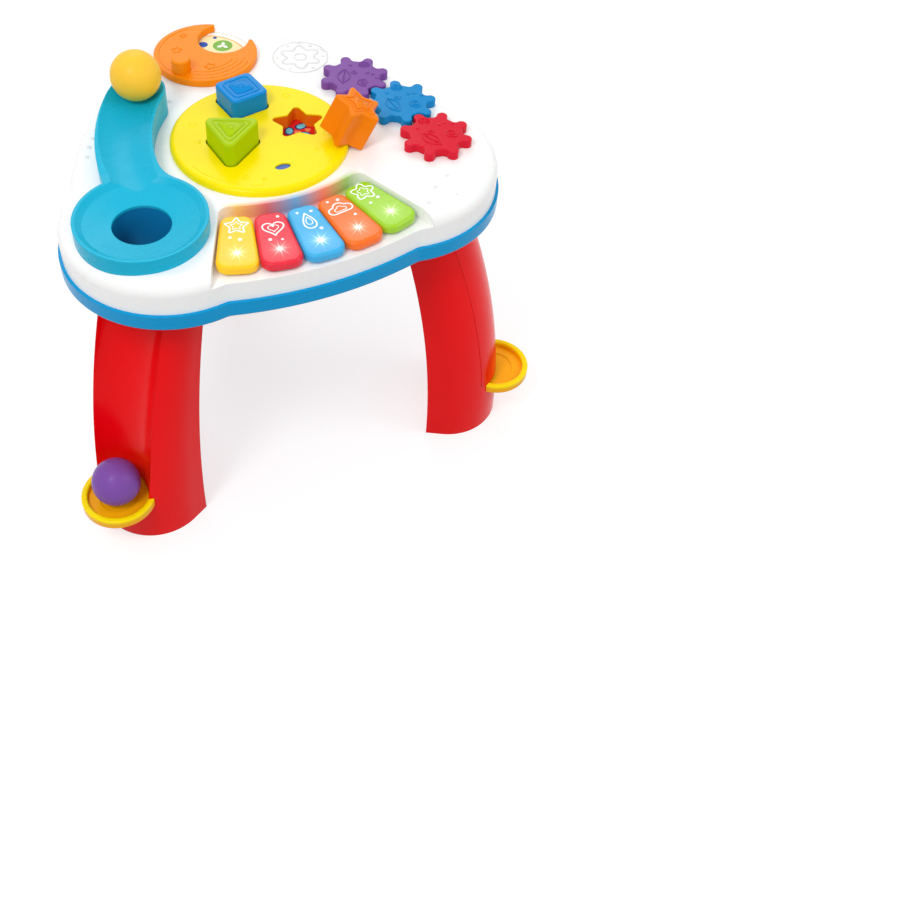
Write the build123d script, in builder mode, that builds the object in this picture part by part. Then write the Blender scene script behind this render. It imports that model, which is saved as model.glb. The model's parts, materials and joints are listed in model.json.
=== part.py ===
"""Musical activity table for toddlers, in millimetres.

Frame: origin on the floor under the middle of the table, +Z up, -Y is the side with the keyboard.
The top has three lobes, at 210, 330 and 90 degrees, and a leg stands under each lobe.
"""

import os
from math import atan2, cos, degrees, hypot, radians, sin, sqrt, tan

from build123d import *

os.makedirs("parts", exist_ok=True)

# ---- table top outline --------------------------------------------------------------------
LOBES = {"left": 210, "right": 330, "rear": 90}  # direction of each lobe and leg, degrees
LOBE_DIST = 133.5  # table middle to the middle of a lobe
LOBE_R = 105.0
SIDE_DIST = 182.0  # table middle to the middle of a side
SIDE_R = 378.0
NOTCH_R = 15.0  # hollow corner between a lobe and a side

# ---- blue tray and white shell ------------------------------------------------------------
TRAY_Z = 302.0  # underside of the tray
RIM_H = 17.5
RIM_WALL = 6.5
RIM_EDGE = 3.5
TRAY_FLOOR = 3.0
SHELL_TOP = 355.0
SHELL_INSET = 3.0
SHELL_WALL = 3.0
SHELL_EDGE = 15.0
POST_R = 5.0
POSTS = [(-100, -130), (100, -130), (130, 75), (-130, 75), (62, 172), (-66, 172)]
FIT = 0.3  # gap between pieces that slot together
SCREW_R = 1.5
SCREW_HEAD_R = 3.0
HEAD_H = 1.7
SCREW_LEN = 14.0
PILLAR_R = 2.9  # posts under the circuit boards
SMALL_SCREW_R, SMALL_SCREW_HEAD, SMALL_SCREW_LEN = 1.1, 2.2, 6.0

# ---- legs ---------------------------------------------------------------------------------
LEG_FOOT_R = 206.7  # middle of the leg's round front, from the table middle, at the floor
LEG_LEAN = 56.0  # how far that middle moves in at the top
LEG_FOOT_HALF = 57.5
LEG_TOP_HALF = 52.5
LEG_BACK = 19.1  # flat back, behind the middle of the round front, at the floor
LEG_BACK_IN = 12.1  # how far it comes nearer to that middle at the top
LEG_WALL = 3.0
LEG_LEVELS = [0.0, 62.0, 120.0, 180.0, 240.0, TRAY_Z]
TRACK_LEG = "left"  # the leg under the drop tube
TRACK = {  # level: (middle from the table middle, radius) of the ball track scooped out of it
    62.0: (LEG_FOOT_R + 71.3, 48.0),
    120.0: (LEG_FOOT_R + 52.7, 45.0),
    180.0: (LEG_FOOT_R + 34.3, 43.0),
    240.0: (LEG_FOOT_R + 10.9, 41.0),
    TRAY_Z: (LEG_FOOT_R - 16.1, 40.0),
}
PEG_R = LEG_FOOT_R - 48.7
PEG_SIDE, PEG_LONG, PEG_WIDE, PEG_H = 43.0, 12.0, 9.0, 14.0
COVER_T = 2.0
COVER_Z1 = 298.0

# ---- ball cups ----------------------------------------------------------------------------
CUP_DIST = LEG_FOOT_R + 52.8
CUP_SIDE = 6.0  # to the left of a leg's middle, seen from the table
CUP_R = 38.5
CUP_RIM = 6.5
CUP_FLOOR = 56.0
CUP_LIP = 6.0
CUP_T = 4.0
CUP_STEP_R, CUP_STEP = 20.0, 0.8

# ---- ball ramp ----------------------------------------------------------------------------
FUNNEL_DIST = 167.0
FUNNEL_R = 61.5
FUNNEL_TOP = 370.0
HOLE_R = 27.2
HOLE_TOP = 360.0
RAMP_START = (-94.5, 88.0)
RAMP_MID = (-124.5, 36.0)
RAMP_END = (-133.0, -50.0)
RAMP_WIDE = 54.5
RAMP_RISE = 13.0  # ball end above the funnel
RAMP_RUN = 115.0
RAMP_WALL = 3.0
RAMP_JOIN = (-136.0, -22.0)  # where the slope meets the level funnel
RAMP_FLARE = 40.0
BOWL_EDGE = (58.5, 53.0)  # funnel's inner wall at its top and foot
BOWL_FOOT = 365.5
GROOVE_R = 40.0
GROOVE_FLOOR = (374.0, 368.3, 363.3)  # at the ball end, the middle and the funnel
TUBE_WALL = 2.5
TUBE_OUT = 181.0  # middle of the drop tube's mouth, from the table middle
BALL_R = 25.0
BALL_WALL = 1.8

# ---- shape sorter -------------------------------------------------------------------------
PLATE_R = 88.0
PLATE_TOP = 362.0
PLATE_EDGE = 5.0
PLATE_HOLE_FIT = 1.3
TUB_R = 85.5
TUB_FLOOR = 346.6
TUB_WALL = 2.0
WELL_WALL = 2.0
WELL_TOP = 360.4
BLOCK_H = {"square": 35.0, "triangle": 39.7, "star": 39.7}
BLOCK_WALL = 2.2
BLOCK_EDGE = 2.5
SQUARE_AT, SQUARE_TURN, SQUARE_SIDE, SQUARE_ROUND = (2.0, 55.7), 10.0, 40.5, 6.0
TRI_AT, TRI_TURN, TRI_R, TRI_ROUND = (-32.0, -10.5), 7.0, 34.5, 6.5
STAR_AT, STAR_TURN, STAR_R, STAR_IN, STAR_ROUND = (42.2, 4.5), 1.5, 27.6, 14.8, 2.8
STAR_LEAN = 24.0  # the loose star block leans on the edge of the plate
STAR_OUT = -23.3  # direction it leans to
BUTTON_AT, BUTTON_HALF = (3.0, -55.0), (7.6, 4.2)
BUTTON_TRAVEL = 1.5

# ---- turning pieces on the top ------------------------------------------------------------
TURN_Z = SHELL_TOP + FIT
STEM_FIT = 0.3
MOON_AT, MOON_R, MOON_T = (-2.4, 157.3), 54.4, 7.2
MOON_CUT_AT, MOON_CUT_R = (23.4, 174.2), 27.0
MOON_STEM_R = 3.4
KNOB_AT, KNOB_R, KNOB_H = (-36.0, 134.0), 10.0, 14.5
PICTURE_R, PICTURE_T = 50.0, 2.2
GEAR_AT = {"purple": (125.8, 56.0), "blue": (151.6, -2.6), "red": (160.4, -65.6)}
GEAR_TIP_R, GEAR_ROOT_R, GEAR_TOOTH, GEAR_T, GEAR_TEETH = 36.0, 26.5, 10.9, 8.5, 8
GEAR_PHASE = 31.0  # direction of one tooth of the blue gear
GEAR_STEM_R = 5.0
DIMPLE_R, DIMPLE_DIST = 6.0, 22.0
DIMPLE_TOOTH = {"purple": 0, "blue": 1, "red": 2}  # the tooth that the dimple lies below
WASHER_R, WASHER_T = 9.0, 2.5

# ---- keyboard -----------------------------------------------------------------------------
FAN_Y = 79.0  # the keys fan out from a point on the +Y side of the middle
TROUGH_R = 174.0
TROUGH_SIDE = 0.35  # room beside the outer keys, degrees
TROUGH_Z = 341.0
KEYS = ["yellow", "red", "blue", "orange", "green"]
KEY_PITCH = 9.4
KEY_GAP = 0.6
KEY_BACK = 9.0  # behind the keys
KEY_R0, KEY_R1 = TROUGH_R + KEY_BACK, 255.0
KEY_TOP = 352.0
KEY_LIFT = 3.2  # key's skirt above the trough floor
KEY_WALL = 2.2
KEY_EDGE = 3.5
KEY_TRAVEL = 2.5
STEM_R = 4.0
STEM_IN = 19.0  # from the ends of a key
STEM_RS = (KEY_R0 + STEM_IN, KEY_R1 - STEM_IN)
LIGHT_HOLE_R = 6.0
BOARD_Z, BOARD_T = 325.0, 1.6
DOME_H = 2.2
LED_R, LED_H = 2.5, 7.5

# ---- electrics in the tray ----------------------------------------------------------------
CELL_R, CELL_LEN, CELL_COUNT = 7.1, 50.5, 3
BOX_AT = (-8.0, 20.0)
BOX_LONG, BOX_WIDE, BOX_TALL, BOX_WALL = 70.0, 50.0, 20.0, 2.0
DOOR_SCREW_AT = 28.5  # from the middle of the box
SPEAKER_AT, SPEAKER_R, SPEAKER_H = (70.0, 88.0), 25.0, 16.0
MAIN_AT, MAIN_LONG, MAIN_WIDE, MAIN_Z = (-75.0, 85.0), 60.0, 42.0, 322.0
SWITCH_AT, SWITCH_LONG, SWITCH_WIDE, SWITCH_TRAVEL = (70.0, -40.0), 10.0, 6.0, 8.0

RIM_TOP = TRAY_Z + RIM_H
FLOOR_TOP = TRAY_Z + TRAY_FLOOR
SHELL_UNDER = SHELL_TOP - SHELL_WALL
TROUGH_HALF = len(KEYS) * KEY_PITCH / 2 + TROUGH_SIDE


def polar(distance, angle):
    return distance * cos(radians(angle)), distance * sin(radians(angle))


def leg_plane(angle, z):
    """Horizontal plane whose X points outwards along the leg at this angle."""
    return Plane(origin=(0, 0, z), x_dir=(*polar(1, angle), 0), z_dir=(0, 0, 1))


def fan_plane(turn, z):
    """Horizontal plane at the middle of the key fan, whose X points along a key."""
    return Plane(origin=(0, FAN_Y, z), x_dir=(*polar(1, 270 + turn), 0), z_dir=(0, 0, 1))


def leg_curve(z):
    """Middle, half width and inner edge of the leg's section at this level."""
    rise = min(max(z / 305.0, 0.0), 1.05)
    bend = rise**2.1
    half = LEG_FOOT_HALF - (LEG_FOOT_HALF - LEG_TOP_HALF) * rise
    middle = LEG_FOOT_R - LEG_LEAN * bend
    return middle, half, middle - LEG_BACK + LEG_BACK_IN * bend


def draw_outline(inset):
    """Outline of the table top, inset from the rim, in the sketch that is open."""
    lobe_r, side_r = LOBE_R - inset, SIDE_R - inset
    with BuildLine(Plane.XY) as line:
        for angle in LOBES.values():
            lobe = Vector(*polar(LOBE_DIST, angle))
            meets = []
            for side in (angle - 60, angle + 60):
                middle = Vector(*polar(SIDE_DIST - SIDE_R, side))
                side_mid = Vector(*polar(SIDE_DIST - inset, side))
                gap = lobe - middle
                along = (gap.length**2 + side_r**2 - lobe_r**2) / (2 * gap.length)
                unit = gap.normalized()
                off = Vector(-unit.Y, unit.X) * sqrt(side_r**2 - along**2)
                both = [middle + unit * along + off, middle + unit * along - off]
                meets.append(min(both, key=lambda p: (p - side_mid).length))
            ThreePointArc(meets[0], Vector(*polar(LOBE_DIST + lobe_r, angle)), meets[1])
            ThreePointArc(meets[1], side_mid, meets[0].rotate(Axis.Z, 120))
    make_face(line.edges())
    fillet(vertices(), NOTCH_R + inset)


def draw_sector(r0, r1, half, round_in, round_out):
    """Sector of a ring about the plane's origin, along X, with rounded corners."""
    start, end = Vector(*polar(r0, -half)), Vector(*polar(r1, half))
    with BuildLine(Plane.XY) as line:
        ThreePointArc(start, (r0, 0), Vector(*polar(r0, half)))
        Line(Vector(*polar(r0, half)), end)
        ThreePointArc(end, (r1, 0), Vector(*polar(r1, -half)))
        Line(Vector(*polar(r1, -half)), start)
    make_face(line.edges())
    corners = vertices().sort_by(Axis.X)
    if round_in:
        fillet(corners[:2], round_in)
    if round_out:
        fillet(vertices().sort_by(Axis.X)[-2:], round_out)


def draw_leg(z, inset=0.0, open_back=0.0):
    """D section of a leg at level z, inset by a wall and let out through the back."""
    middle, half, back = leg_curve(z)
    half, back = half - inset, back - open_back
    with BuildLine(Plane.XY) as line:
        Line((back, -half), (middle, -half))
        ThreePointArc((middle, -half), (middle + half, 0), (middle, half))
        Line((middle, half), (back, half))
        Line((back, half), (back, -half))
    make_face(line.edges())


def draw_star(extra):
    """Rounded five-pointed star about the origin."""
    points = [polar(STAR_IN if i % 2 else STAR_R, 36 * i) for i in range(10)]
    with BuildLine(Plane.XY) as line:
        Polyline(*points, close=True)
    make_face(line.edges())
    fillet(vertices(), STAR_ROUND)
    if extra:
        offset(amount=extra)


def draw_square(extra):
    side = SQUARE_SIDE + 2 * extra
    RectangleRounded(side, side, SQUARE_ROUND + extra)


def draw_triangle(extra):
    RegularPolygon(TRI_R + 2 * extra, 3)
    fillet(vertices(), TRI_ROUND + extra)


def block_plane(at, turn, z):
    return Plane(origin=(*at, z), x_dir=(*polar(1, turn), 0), z_dir=(0, 0, 1))


def write(builder, name):
    builder.part.label = name
    export_step(builder.part, f"parts/{name}.step")


# ---- white shell: outer form, kept for the pieces that stand on it ------------------------
with BuildPart() as shell_form:
    with BuildSketch(Plane.XY.offset(RIM_TOP)):
        draw_outline(SHELL_INSET)
    extrude(amount=SHELL_TOP - RIM_TOP)
    fillet(shell_form.edges().group_by(Axis.Z)[-1], SHELL_EDGE)

with BuildPart() as shell_core:
    with BuildSketch(Plane.XY.offset(RIM_TOP)):
        draw_outline(SHELL_INSET + SHELL_WALL)
    extrude(amount=SHELL_UNDER - RIM_TOP)
    fillet(shell_core.edges().group_by(Axis.Z)[-1], SHELL_EDGE - SHELL_WALL)
    with BuildSketch(fan_plane(0, TROUGH_Z - SHELL_WALL)):
        wall_turn = degrees(SHELL_WALL / TROUGH_R)
        draw_sector(TROUGH_R - SHELL_WALL, TROUGH_R + 150, TROUGH_HALF + wall_turn, 12, 0)
    extrude(amount=SHELL_TOP, mode=Mode.SUBTRACT)

with BuildPart() as top_shell:
    add(shell_form.part)
    with BuildSketch(fan_plane(0, TROUGH_Z)):
        draw_sector(TROUGH_R, TROUGH_R + 150, TROUGH_HALF, 10, 0)
    extrude(amount=SHELL_TOP, mode=Mode.SUBTRACT)
    add(shell_core.part, mode=Mode.SUBTRACT)
    # thick seat under the moon disc, with a recess for the picture
    with BuildSketch(Plane.XY.offset(SHELL_UNDER - SHELL_WALL)):
        with Locations(MOON_AT):
            Circle(PICTURE_R + SHELL_WALL)
    extrude(amount=SHELL_WALL)
    with BuildSketch(Plane.XY.offset(SHELL_TOP - PICTURE_T - FIT)):
        with Locations(MOON_AT):
            Circle(PICTURE_R + FIT)
    extrude(amount=SHELL_WALL, mode=Mode.SUBTRACT)
    # screw posts down to the tray
    with BuildSketch(Plane.XY.offset(FLOOR_TOP)):
        with Locations(*POSTS):
            Circle(POST_R)
    extrude(amount=SHELL_UNDER - FLOOR_TOP)
    with BuildSketch(Plane.XY.offset(FLOOR_TOP)):
        with Locations(*POSTS):
            Circle(SCREW_R)
    extrude(amount=SCREW_LEN, mode=Mode.SUBTRACT)
    # posts that carry the key board
    for turn in (-1.5 * KEY_PITCH, 1.5 * KEY_PITCH):
        with BuildSketch(fan_plane(turn, BOARD_Z + BOARD_T)):
            with Locations(*[(r, 0) for r in STEM_RS]):
                Circle(PILLAR_R)
        extrude(amount=TROUGH_Z - SHELL_WALL - BOARD_Z - BOARD_T)
        with BuildSketch(fan_plane(turn, BOARD_Z + BOARD_T)):
            with Locations(*[(r, 0) for r in STEM_RS]):
                Circle(SMALL_SCREW_R)
        extrude(amount=SMALL_SCREW_LEN, mode=Mode.SUBTRACT)
    # openings
    with BuildSketch(Plane.XY.offset(RIM_TOP)):
        Circle(TUB_R + 2 * FIT)
        with Locations(polar(FUNNEL_DIST, LOBES["left"])):
            Circle(HOLE_R + TUBE_WALL + 4)
        with Locations(MOON_AT):
            Circle(MOON_STEM_R + STEM_FIT)
        with Locations(*GEAR_AT.values()):
            Circle(GEAR_STEM_R + STEM_FIT)
    extrude(amount=SHELL_TOP - RIM_TOP, mode=Mode.SUBTRACT)
    for i in range(len(KEYS)):
        turn = (i - (len(KEYS) - 1) / 2) * KEY_PITCH
        with BuildSketch(fan_plane(turn, RIM_TOP)):
            with Locations(*[(r, 0) for r in STEM_RS]):
                Circle(STEM_R + STEM_FIT)
            with Locations((sum(STEM_RS) / 2, 0)):
                Circle(LIGHT_HOLE_R)
        extrude(amount=TROUGH_Z - RIM_TOP, mode=Mode.SUBTRACT)
write(top_shell, "top_shell")


def add_screws(points, z, shank, head_r, head_h, length):
    """Screws driven upwards: heads from z, shanks above them."""
    with Locations(*[(x, y, z) for x, y in points]):
        Cylinder(head_r, head_h, align=(Align.CENTER, Align.CENTER, Align.MIN))
        Cylinder(shank, head_h + length, align=(Align.CENTER, Align.CENTER, Align.MIN))


# ---- blue tray ----------------------------------------------------------------------------
FUNNEL_AT = polar(FUNNEL_DIST, LOBES["left"])
TUBE_TOP = HOLE_TOP - RAMP_WALL
MAIN_POSTS = [
    (MAIN_AT[0] + i * (MAIN_LONG / 2 - 4), MAIN_AT[1] + j * (MAIN_WIDE / 2 - 4))
    for i in (-1, 1)
    for j in (-1, 1)
]
DOOR_SCREW = (BOX_AT[0] + DOOR_SCREW_AT, BOX_AT[1])
BOX_IN = (BOX_LONG - 2 * BOX_WALL, BOX_WIDE - 2 * BOX_WALL)

with BuildPart() as base_tray:
    with BuildSketch(Plane.XY.offset(TRAY_Z)):
        draw_outline(0)
    extrude(amount=RIM_H)
    fillet(base_tray.edges().group_by(Axis.Z)[0], RIM_EDGE)
    with BuildSketch(Plane.XY.offset(FLOOR_TOP)):
        draw_outline(RIM_WALL)
    extrude(amount=RIM_H, mode=Mode.SUBTRACT)
    # collar round the speaker and posts under the main board
    with BuildSketch(Plane.XY.offset(FLOOR_TOP)):
        with Locations(SPEAKER_AT):
            Circle(SPEAKER_R + FIT + TUB_WALL)
            Circle(SPEAKER_R + FIT, mode=Mode.SUBTRACT)
    extrude(amount=RIM_WALL)
    with BuildSketch(Plane.XY.offset(FLOOR_TOP)):
        with Locations(*MAIN_POSTS):
            Circle(PILLAR_R)
    extrude(amount=MAIN_Z - FLOOR_TOP)
    with BuildSketch(Plane.XY.offset(MAIN_Z)):
        with Locations(*MAIN_POSTS):
            Circle(SMALL_SCREW_R)
    extrude(amount=-SMALL_SCREW_LEN, mode=Mode.SUBTRACT)
    # screw holes, battery hatch, switch slot, mouth of the drop tube, speaker grille
    with BuildSketch(Plane.XY.offset(TRAY_Z)):
        with Locations(*POSTS):
            Circle(SCREW_R + FIT)
        with Locations(BOX_AT):
            Rectangle(*BOX_IN)
        with Locations(SWITCH_AT):
            Rectangle(SWITCH_LONG + SWITCH_TRAVEL + 2 * FIT, SWITCH_WIDE + 2 * FIT)
        with Locations(polar(TUBE_OUT, LOBES["left"])):
            Circle(HOLE_R)
        with Locations(SPEAKER_AT):
            for ring, count in ((0, 1), (7, 6), (14, 12)):
                with PolarLocations(ring, count):
                    Circle(SCREW_R)
    extrude(amount=TRAY_FLOOR, mode=Mode.SUBTRACT)
    with BuildSketch(Plane.XY.offset(TRAY_Z)):
        with Locations(*POSTS):
            Circle(SCREW_HEAD_R + FIT)
    extrude(amount=HEAD_H + FIT, mode=Mode.SUBTRACT)
    for angle in LOBES.values():
        with BuildSketch(leg_plane(angle, TRAY_Z)):
            with Locations((PEG_R, PEG_SIDE), (PEG_R, -PEG_SIDE)):
                Rectangle(PEG_LONG + 2 * FIT, PEG_WIDE + 2 * FIT)
        extrude(amount=TRAY_FLOOR, mode=Mode.SUBTRACT)
write(base_tray, "base_tray")

with BuildPart() as tray_screws:
    add_screws(POSTS, TRAY_Z + FIT, SCREW_R, SCREW_HEAD_R, HEAD_H, SCREW_LEN)
write(tray_screws, "tray_screws")

# ---- legs, their back covers and the ball cups ----------------------------------------------
CUP_BOTTOM = CUP_FLOOR - CUP_T
CUP_TOP = CUP_FLOOR + CUP_LIP
for name, angle in LOBES.items():
    with BuildPart() as leg_core:
        for z in [LEG_WALL, *LEG_LEVELS[1:-1], TRAY_Z - LEG_WALL]:
            with BuildSketch(leg_plane(angle, z)):
                draw_leg(z, LEG_WALL, 2 * LEG_WALL)
        loft()
        if name == TRACK_LEG:
            for z, (middle, radius) in TRACK.items():
                with BuildSketch(leg_plane(angle, z)):
                    with Locations((middle, 0)):
                        Circle(radius + LEG_WALL)
            loft(mode=Mode.SUBTRACT)

    with BuildPart() as leg:
        for z in LEG_LEVELS:
            with BuildSketch(leg_plane(angle, z)):
                draw_leg(z)
        loft()
        if name == TRACK_LEG:
            for z, (middle, radius) in TRACK.items():
                with BuildSketch(leg_plane(angle, z)):
                    with Locations((middle, 0)):
                        Circle(radius)
            loft(mode=Mode.SUBTRACT)
        add(leg_core.part, mode=Mode.SUBTRACT)
        # shelf that carries the cup, then the slot that the cup slides into
        with BuildSketch(leg_plane(angle, CUP_BOTTOM - FIT - LEG_WALL)):
            draw_leg(CUP_BOTTOM, LEG_WALL - 0.5, -COVER_T - 2 * FIT)
        extrude(amount=LEG_WALL)
        with BuildSketch(leg_plane(angle, CUP_BOTTOM)):
            with Locations((CUP_DIST, CUP_SIDE)):
                Circle(CUP_R + FIT)
        extrude(amount=CUP_TOP + FIT - CUP_BOTTOM, mode=Mode.SUBTRACT)
        with BuildSketch(leg_plane(angle, CUP_BOTTOM - FIT)):
            with Locations((CUP_DIST, CUP_SIDE)):
                Circle(CUP_R + FIT)
        extrude(amount=FIT, mode=Mode.SUBTRACT)
        with BuildSketch(leg_plane(angle, TRAY_Z)):
            with Locations((PEG_R, PEG_SIDE), (PEG_R, -PEG_SIDE)):
                RectangleRounded(PEG_LONG, PEG_WIDE, LEG_WALL - 1)
        extrude(amount=PEG_H)
    write(leg, f"leg_{name}")

    with BuildPart() as cover:
        for z in [LEG_WALL + FIT, *LEG_LEVELS[1:-1], COVER_Z1]:
            middle, half, back = leg_curve(z)
            with BuildSketch(leg_plane(angle, z)):
                with Locations((back + FIT + COVER_T / 2, 0)):
                    Rectangle(COVER_T, 2 * (half - LEG_WALL - FIT))
        loft()
    write(cover, f"leg_cover_{name}")

    with BuildPart() as cup:
        with BuildSketch(leg_plane(angle, CUP_BOTTOM)):
            with Locations((CUP_DIST, CUP_SIDE)):
                Circle(CUP_R)
        extrude(amount=CUP_TOP - CUP_BOTTOM)
        for radius, depth in ((CUP_R - CUP_RIM, CUP_LIP), (CUP_STEP_R, CUP_LIP + CUP_STEP)):
            with BuildSketch(leg_plane(angle, CUP_TOP)):
                with Locations((CUP_DIST, CUP_SIDE)):
                    Circle(radius)
            extrude(amount=-depth, mode=Mode.SUBTRACT)
        fillet(cup.edges().group_by(Axis.Z)[-1], CUP_LIP / 3)
    write(cup, f"ball_cup_{name}")

# ---- ball ramp, drop tube and balls ---------------------------------------------------------
ramp_way = (Vector(*RAMP_START) - Vector(*RAMP_JOIN)).normalized()
ramp_side = Plane(
    origin=(*RAMP_JOIN, 0), x_dir=(ramp_way.X, ramp_way.Y, 0), z_dir=(ramp_way.Y, -ramp_way.X, 0)
)


def draw_ramp(inset):
    """Plan of the ramp: a round funnel and a curved lane running into it."""
    with BuildLine(Plane.XY) as lane:
        ThreePointArc(RAMP_START, RAMP_MID, RAMP_END)
    SlotArc(lane.edges()[0], RAMP_WIDE - 2 * inset)
    with Locations(FUNNEL_AT):
        Circle(FUNNEL_R - inset)
    right = [v for v in vertices() if RAMP_END[1] - 30 < v.Y < 0 and v.X > RAMP_END[0]]
    fillet(right[:1], RAMP_FLARE + inset)


def draw_above_slope(level):
    """Side view of all that is above the ramp's sloping top, shifted to this level."""
    with BuildLine(Plane.XY) as line:
        Polyline(
            (-150, level),
            (0, level),
            (RAMP_RUN, level + RAMP_RISE),
            (RAMP_RUN + 60, level + RAMP_RISE),
            (RAMP_RUN + 60, level + 150),
            (-150, level + 150),
            close=True,
        )
    make_face(line.edges())


with BuildPart() as ramp_core:
    with BuildSketch(Plane.XY.offset(RIM_TOP)):
        draw_ramp(RAMP_WALL)
    extrude(amount=FUNNEL_TOP - RIM_TOP)
    with BuildSketch(ramp_side):
        draw_above_slope(HOLE_TOP - RAMP_WALL)
    extrude(amount=200, both=True, mode=Mode.SUBTRACT)

with BuildPart() as ball_ramp:
    with BuildSketch(Plane.XY.offset(RIM_TOP)):
        draw_ramp(0)
    extrude(amount=FUNNEL_TOP + RAMP_RISE - RIM_TOP)
    with BuildSketch(ramp_side):
        draw_above_slope(FUNNEL_TOP)
    extrude(amount=200, both=True, mode=Mode.SUBTRACT)
    with BuildLine() as groove:
        ThreePointArc(
            *[
                (*at, floor + GROOVE_R)
                for at, floor in zip((RAMP_START, RAMP_MID, RAMP_END), GROOVE_FLOOR)
            ]
        )
    with BuildSketch(Plane(origin=groove.edges()[0] @ 0, z_dir=groove.edges()[0] % 0)):
        Circle(GROOVE_R)
    sweep(path=groove.edges()[0], mode=Mode.SUBTRACT)
    with Locations(groove.edges()[0] @ 0):
        Sphere(GROOVE_R, mode=Mode.SUBTRACT)
    with BuildSketch(Plane(origin=(*FUNNEL_AT, 0), x_dir=(1, 0, 0), z_dir=(0, -1, 0))):
        with BuildLine():
            Polyline(
                (0, HOLE_TOP),
                (HOLE_R, HOLE_TOP),
                (BOWL_EDGE[1], BOWL_FOOT),
                (BOWL_EDGE[0], FUNNEL_TOP),
                (BOWL_EDGE[0], FUNNEL_TOP + 1),
                (0, FUNNEL_TOP + 1),
                close=True,
            )
        make_face()
    revolve(axis=Axis((*FUNNEL_AT, 0), (0, 0, 1)), mode=Mode.SUBTRACT)
    add(shell_form.part, mode=Mode.SUBTRACT)
    add(ramp_core.part, mode=Mode.SUBTRACT)
    with BuildSketch(Plane.XY.offset(RIM_TOP)):
        with Locations(FUNNEL_AT):
            Circle(HOLE_R)
    extrude(amount=FUNNEL_TOP, mode=Mode.SUBTRACT)
write(ball_ramp, "ball_ramp")

with BuildPart() as ball_drop_tube:
    for radius, mode in ((HOLE_R + TUBE_WALL, Mode.ADD), (HOLE_R, Mode.SUBTRACT)):
        for z, at in ((FLOOR_TOP, polar(TUBE_OUT, LOBES["left"])), (TUBE_TOP, FUNNEL_AT)):
            with BuildSketch(Plane.XY.offset(z)):
                with Locations(at):
                    Circle(radius)
        loft(mode=mode)
write(ball_drop_tube, "ball_drop_tube")

cup_middle = leg_plane(LOBES["left"], 0).from_local_coords((CUP_DIST, CUP_SIDE, 0))
CUP_MIDDLE = (cup_middle.X, cup_middle.Y)
for name, at, z in (
    ("yellow", RAMP_START, GROOVE_FLOOR[0] + BALL_R),
    ("purple", CUP_MIDDLE, CUP_FLOOR - CUP_STEP + BALL_R),
):
    with BuildPart() as ball:
        with Locations((*at, z + 0.05)):
            Sphere(BALL_R)
            Sphere(BALL_R - BALL_WALL, mode=Mode.SUBTRACT)
    write(ball, f"ball_{name}")

# ---- shape sorter ---------------------------------------------------------------------------
SHAPES = {
    "square": (draw_square, SQUARE_AT, SQUARE_TURN),
    "triangle": (draw_triangle, TRI_AT, TRI_TURN),
    "star": (draw_star, STAR_AT, STAR_TURN),
}

with BuildPart() as sorter_plate:
    with BuildSketch(Plane.XY.offset(SHELL_TOP)):
        Circle(PLATE_R)
    extrude(amount=PLATE_TOP - SHELL_TOP)
    fillet(sorter_plate.edges().group_by(Axis.Z)[-1], PLATE_EDGE)
    for shape, (draw, at, turn) in SHAPES.items():
        if shape == "star":
            continue
        with BuildSketch(block_plane(at, turn, TUB_FLOOR)):
            draw(PLATE_HOLE_FIT + WELL_WALL)
        extrude(amount=SHELL_TOP - TUB_FLOOR)
        with BuildSketch(block_plane(at, turn, TUB_FLOOR)):
            draw(PLATE_HOLE_FIT)
        extrude(amount=PLATE_TOP - TUB_FLOOR, mode=Mode.SUBTRACT)
    with BuildSketch(block_plane(STAR_AT, STAR_TURN, SHELL_TOP)):
        draw_star(PLATE_HOLE_FIT)
    extrude(amount=PLATE_TOP - SHELL_TOP, mode=Mode.SUBTRACT)
    with BuildSketch(block_plane(STAR_AT, STAR_TURN, SHELL_TOP)):
        draw_star(PLATE_HOLE_FIT + WELL_WALL)
    extrude(amount=WELL_TOP - SHELL_TOP, mode=Mode.SUBTRACT)
    with BuildSketch(Plane.XY.offset(SHELL_TOP)):
        with Locations(BUTTON_AT):
            Ellipse(BUTTON_HALF[0] + FIT, BUTTON_HALF[1] + FIT)
    extrude(amount=PLATE_TOP - SHELL_TOP, mode=Mode.SUBTRACT)
write(sorter_plate, "sorter_plate")

with BuildPart() as star_well:
    with BuildSketch(block_plane(STAR_AT, STAR_TURN, TUB_FLOOR)):
        draw_star(PLATE_HOLE_FIT + WELL_WALL - 0.1)
    extrude(amount=WELL_TOP - TUB_FLOOR)
    with BuildSketch(block_plane(STAR_AT, STAR_TURN, TUB_FLOOR)):
        draw_star(PLATE_HOLE_FIT)
    extrude(amount=WELL_TOP - TUB_FLOOR, mode=Mode.SUBTRACT)
write(star_well, "star_well")

with BuildPart() as sorter_tub:
    with BuildSketch(Plane.XY.offset(TUB_FLOOR - TUB_WALL)):
        Circle(TUB_R)
    extrude(amount=SHELL_TOP - TUB_FLOOR + TUB_WALL)
    with BuildSketch(Plane.XY.offset(TUB_FLOOR)):
        Circle(TUB_R - TUB_WALL)
    extrude(amount=SHELL_TOP - TUB_FLOOR, mode=Mode.SUBTRACT)
write(sorter_tub, "sorter_tub")

BUTTON_LOW = TUB_FLOOR + BUTTON_TRAVEL + FIT
BUTTON_STEPS = [(0, BUTTON_LOW, PLATE_TOP - BUTTON_TRAVEL), (2.4, SHELL_TOP - 2.5, SHELL_TOP - FIT)]
with BuildPart() as sorter_button:
    for grow, z0, z1 in BUTTON_STEPS:
        with BuildSketch(Plane.XY.offset(z0)):
            with Locations(BUTTON_AT):
                Ellipse(BUTTON_HALF[0] + grow, BUTTON_HALF[1] + grow)
        extrude(amount=z1 - z0)
write(sorter_button, "sorter_button")

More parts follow.
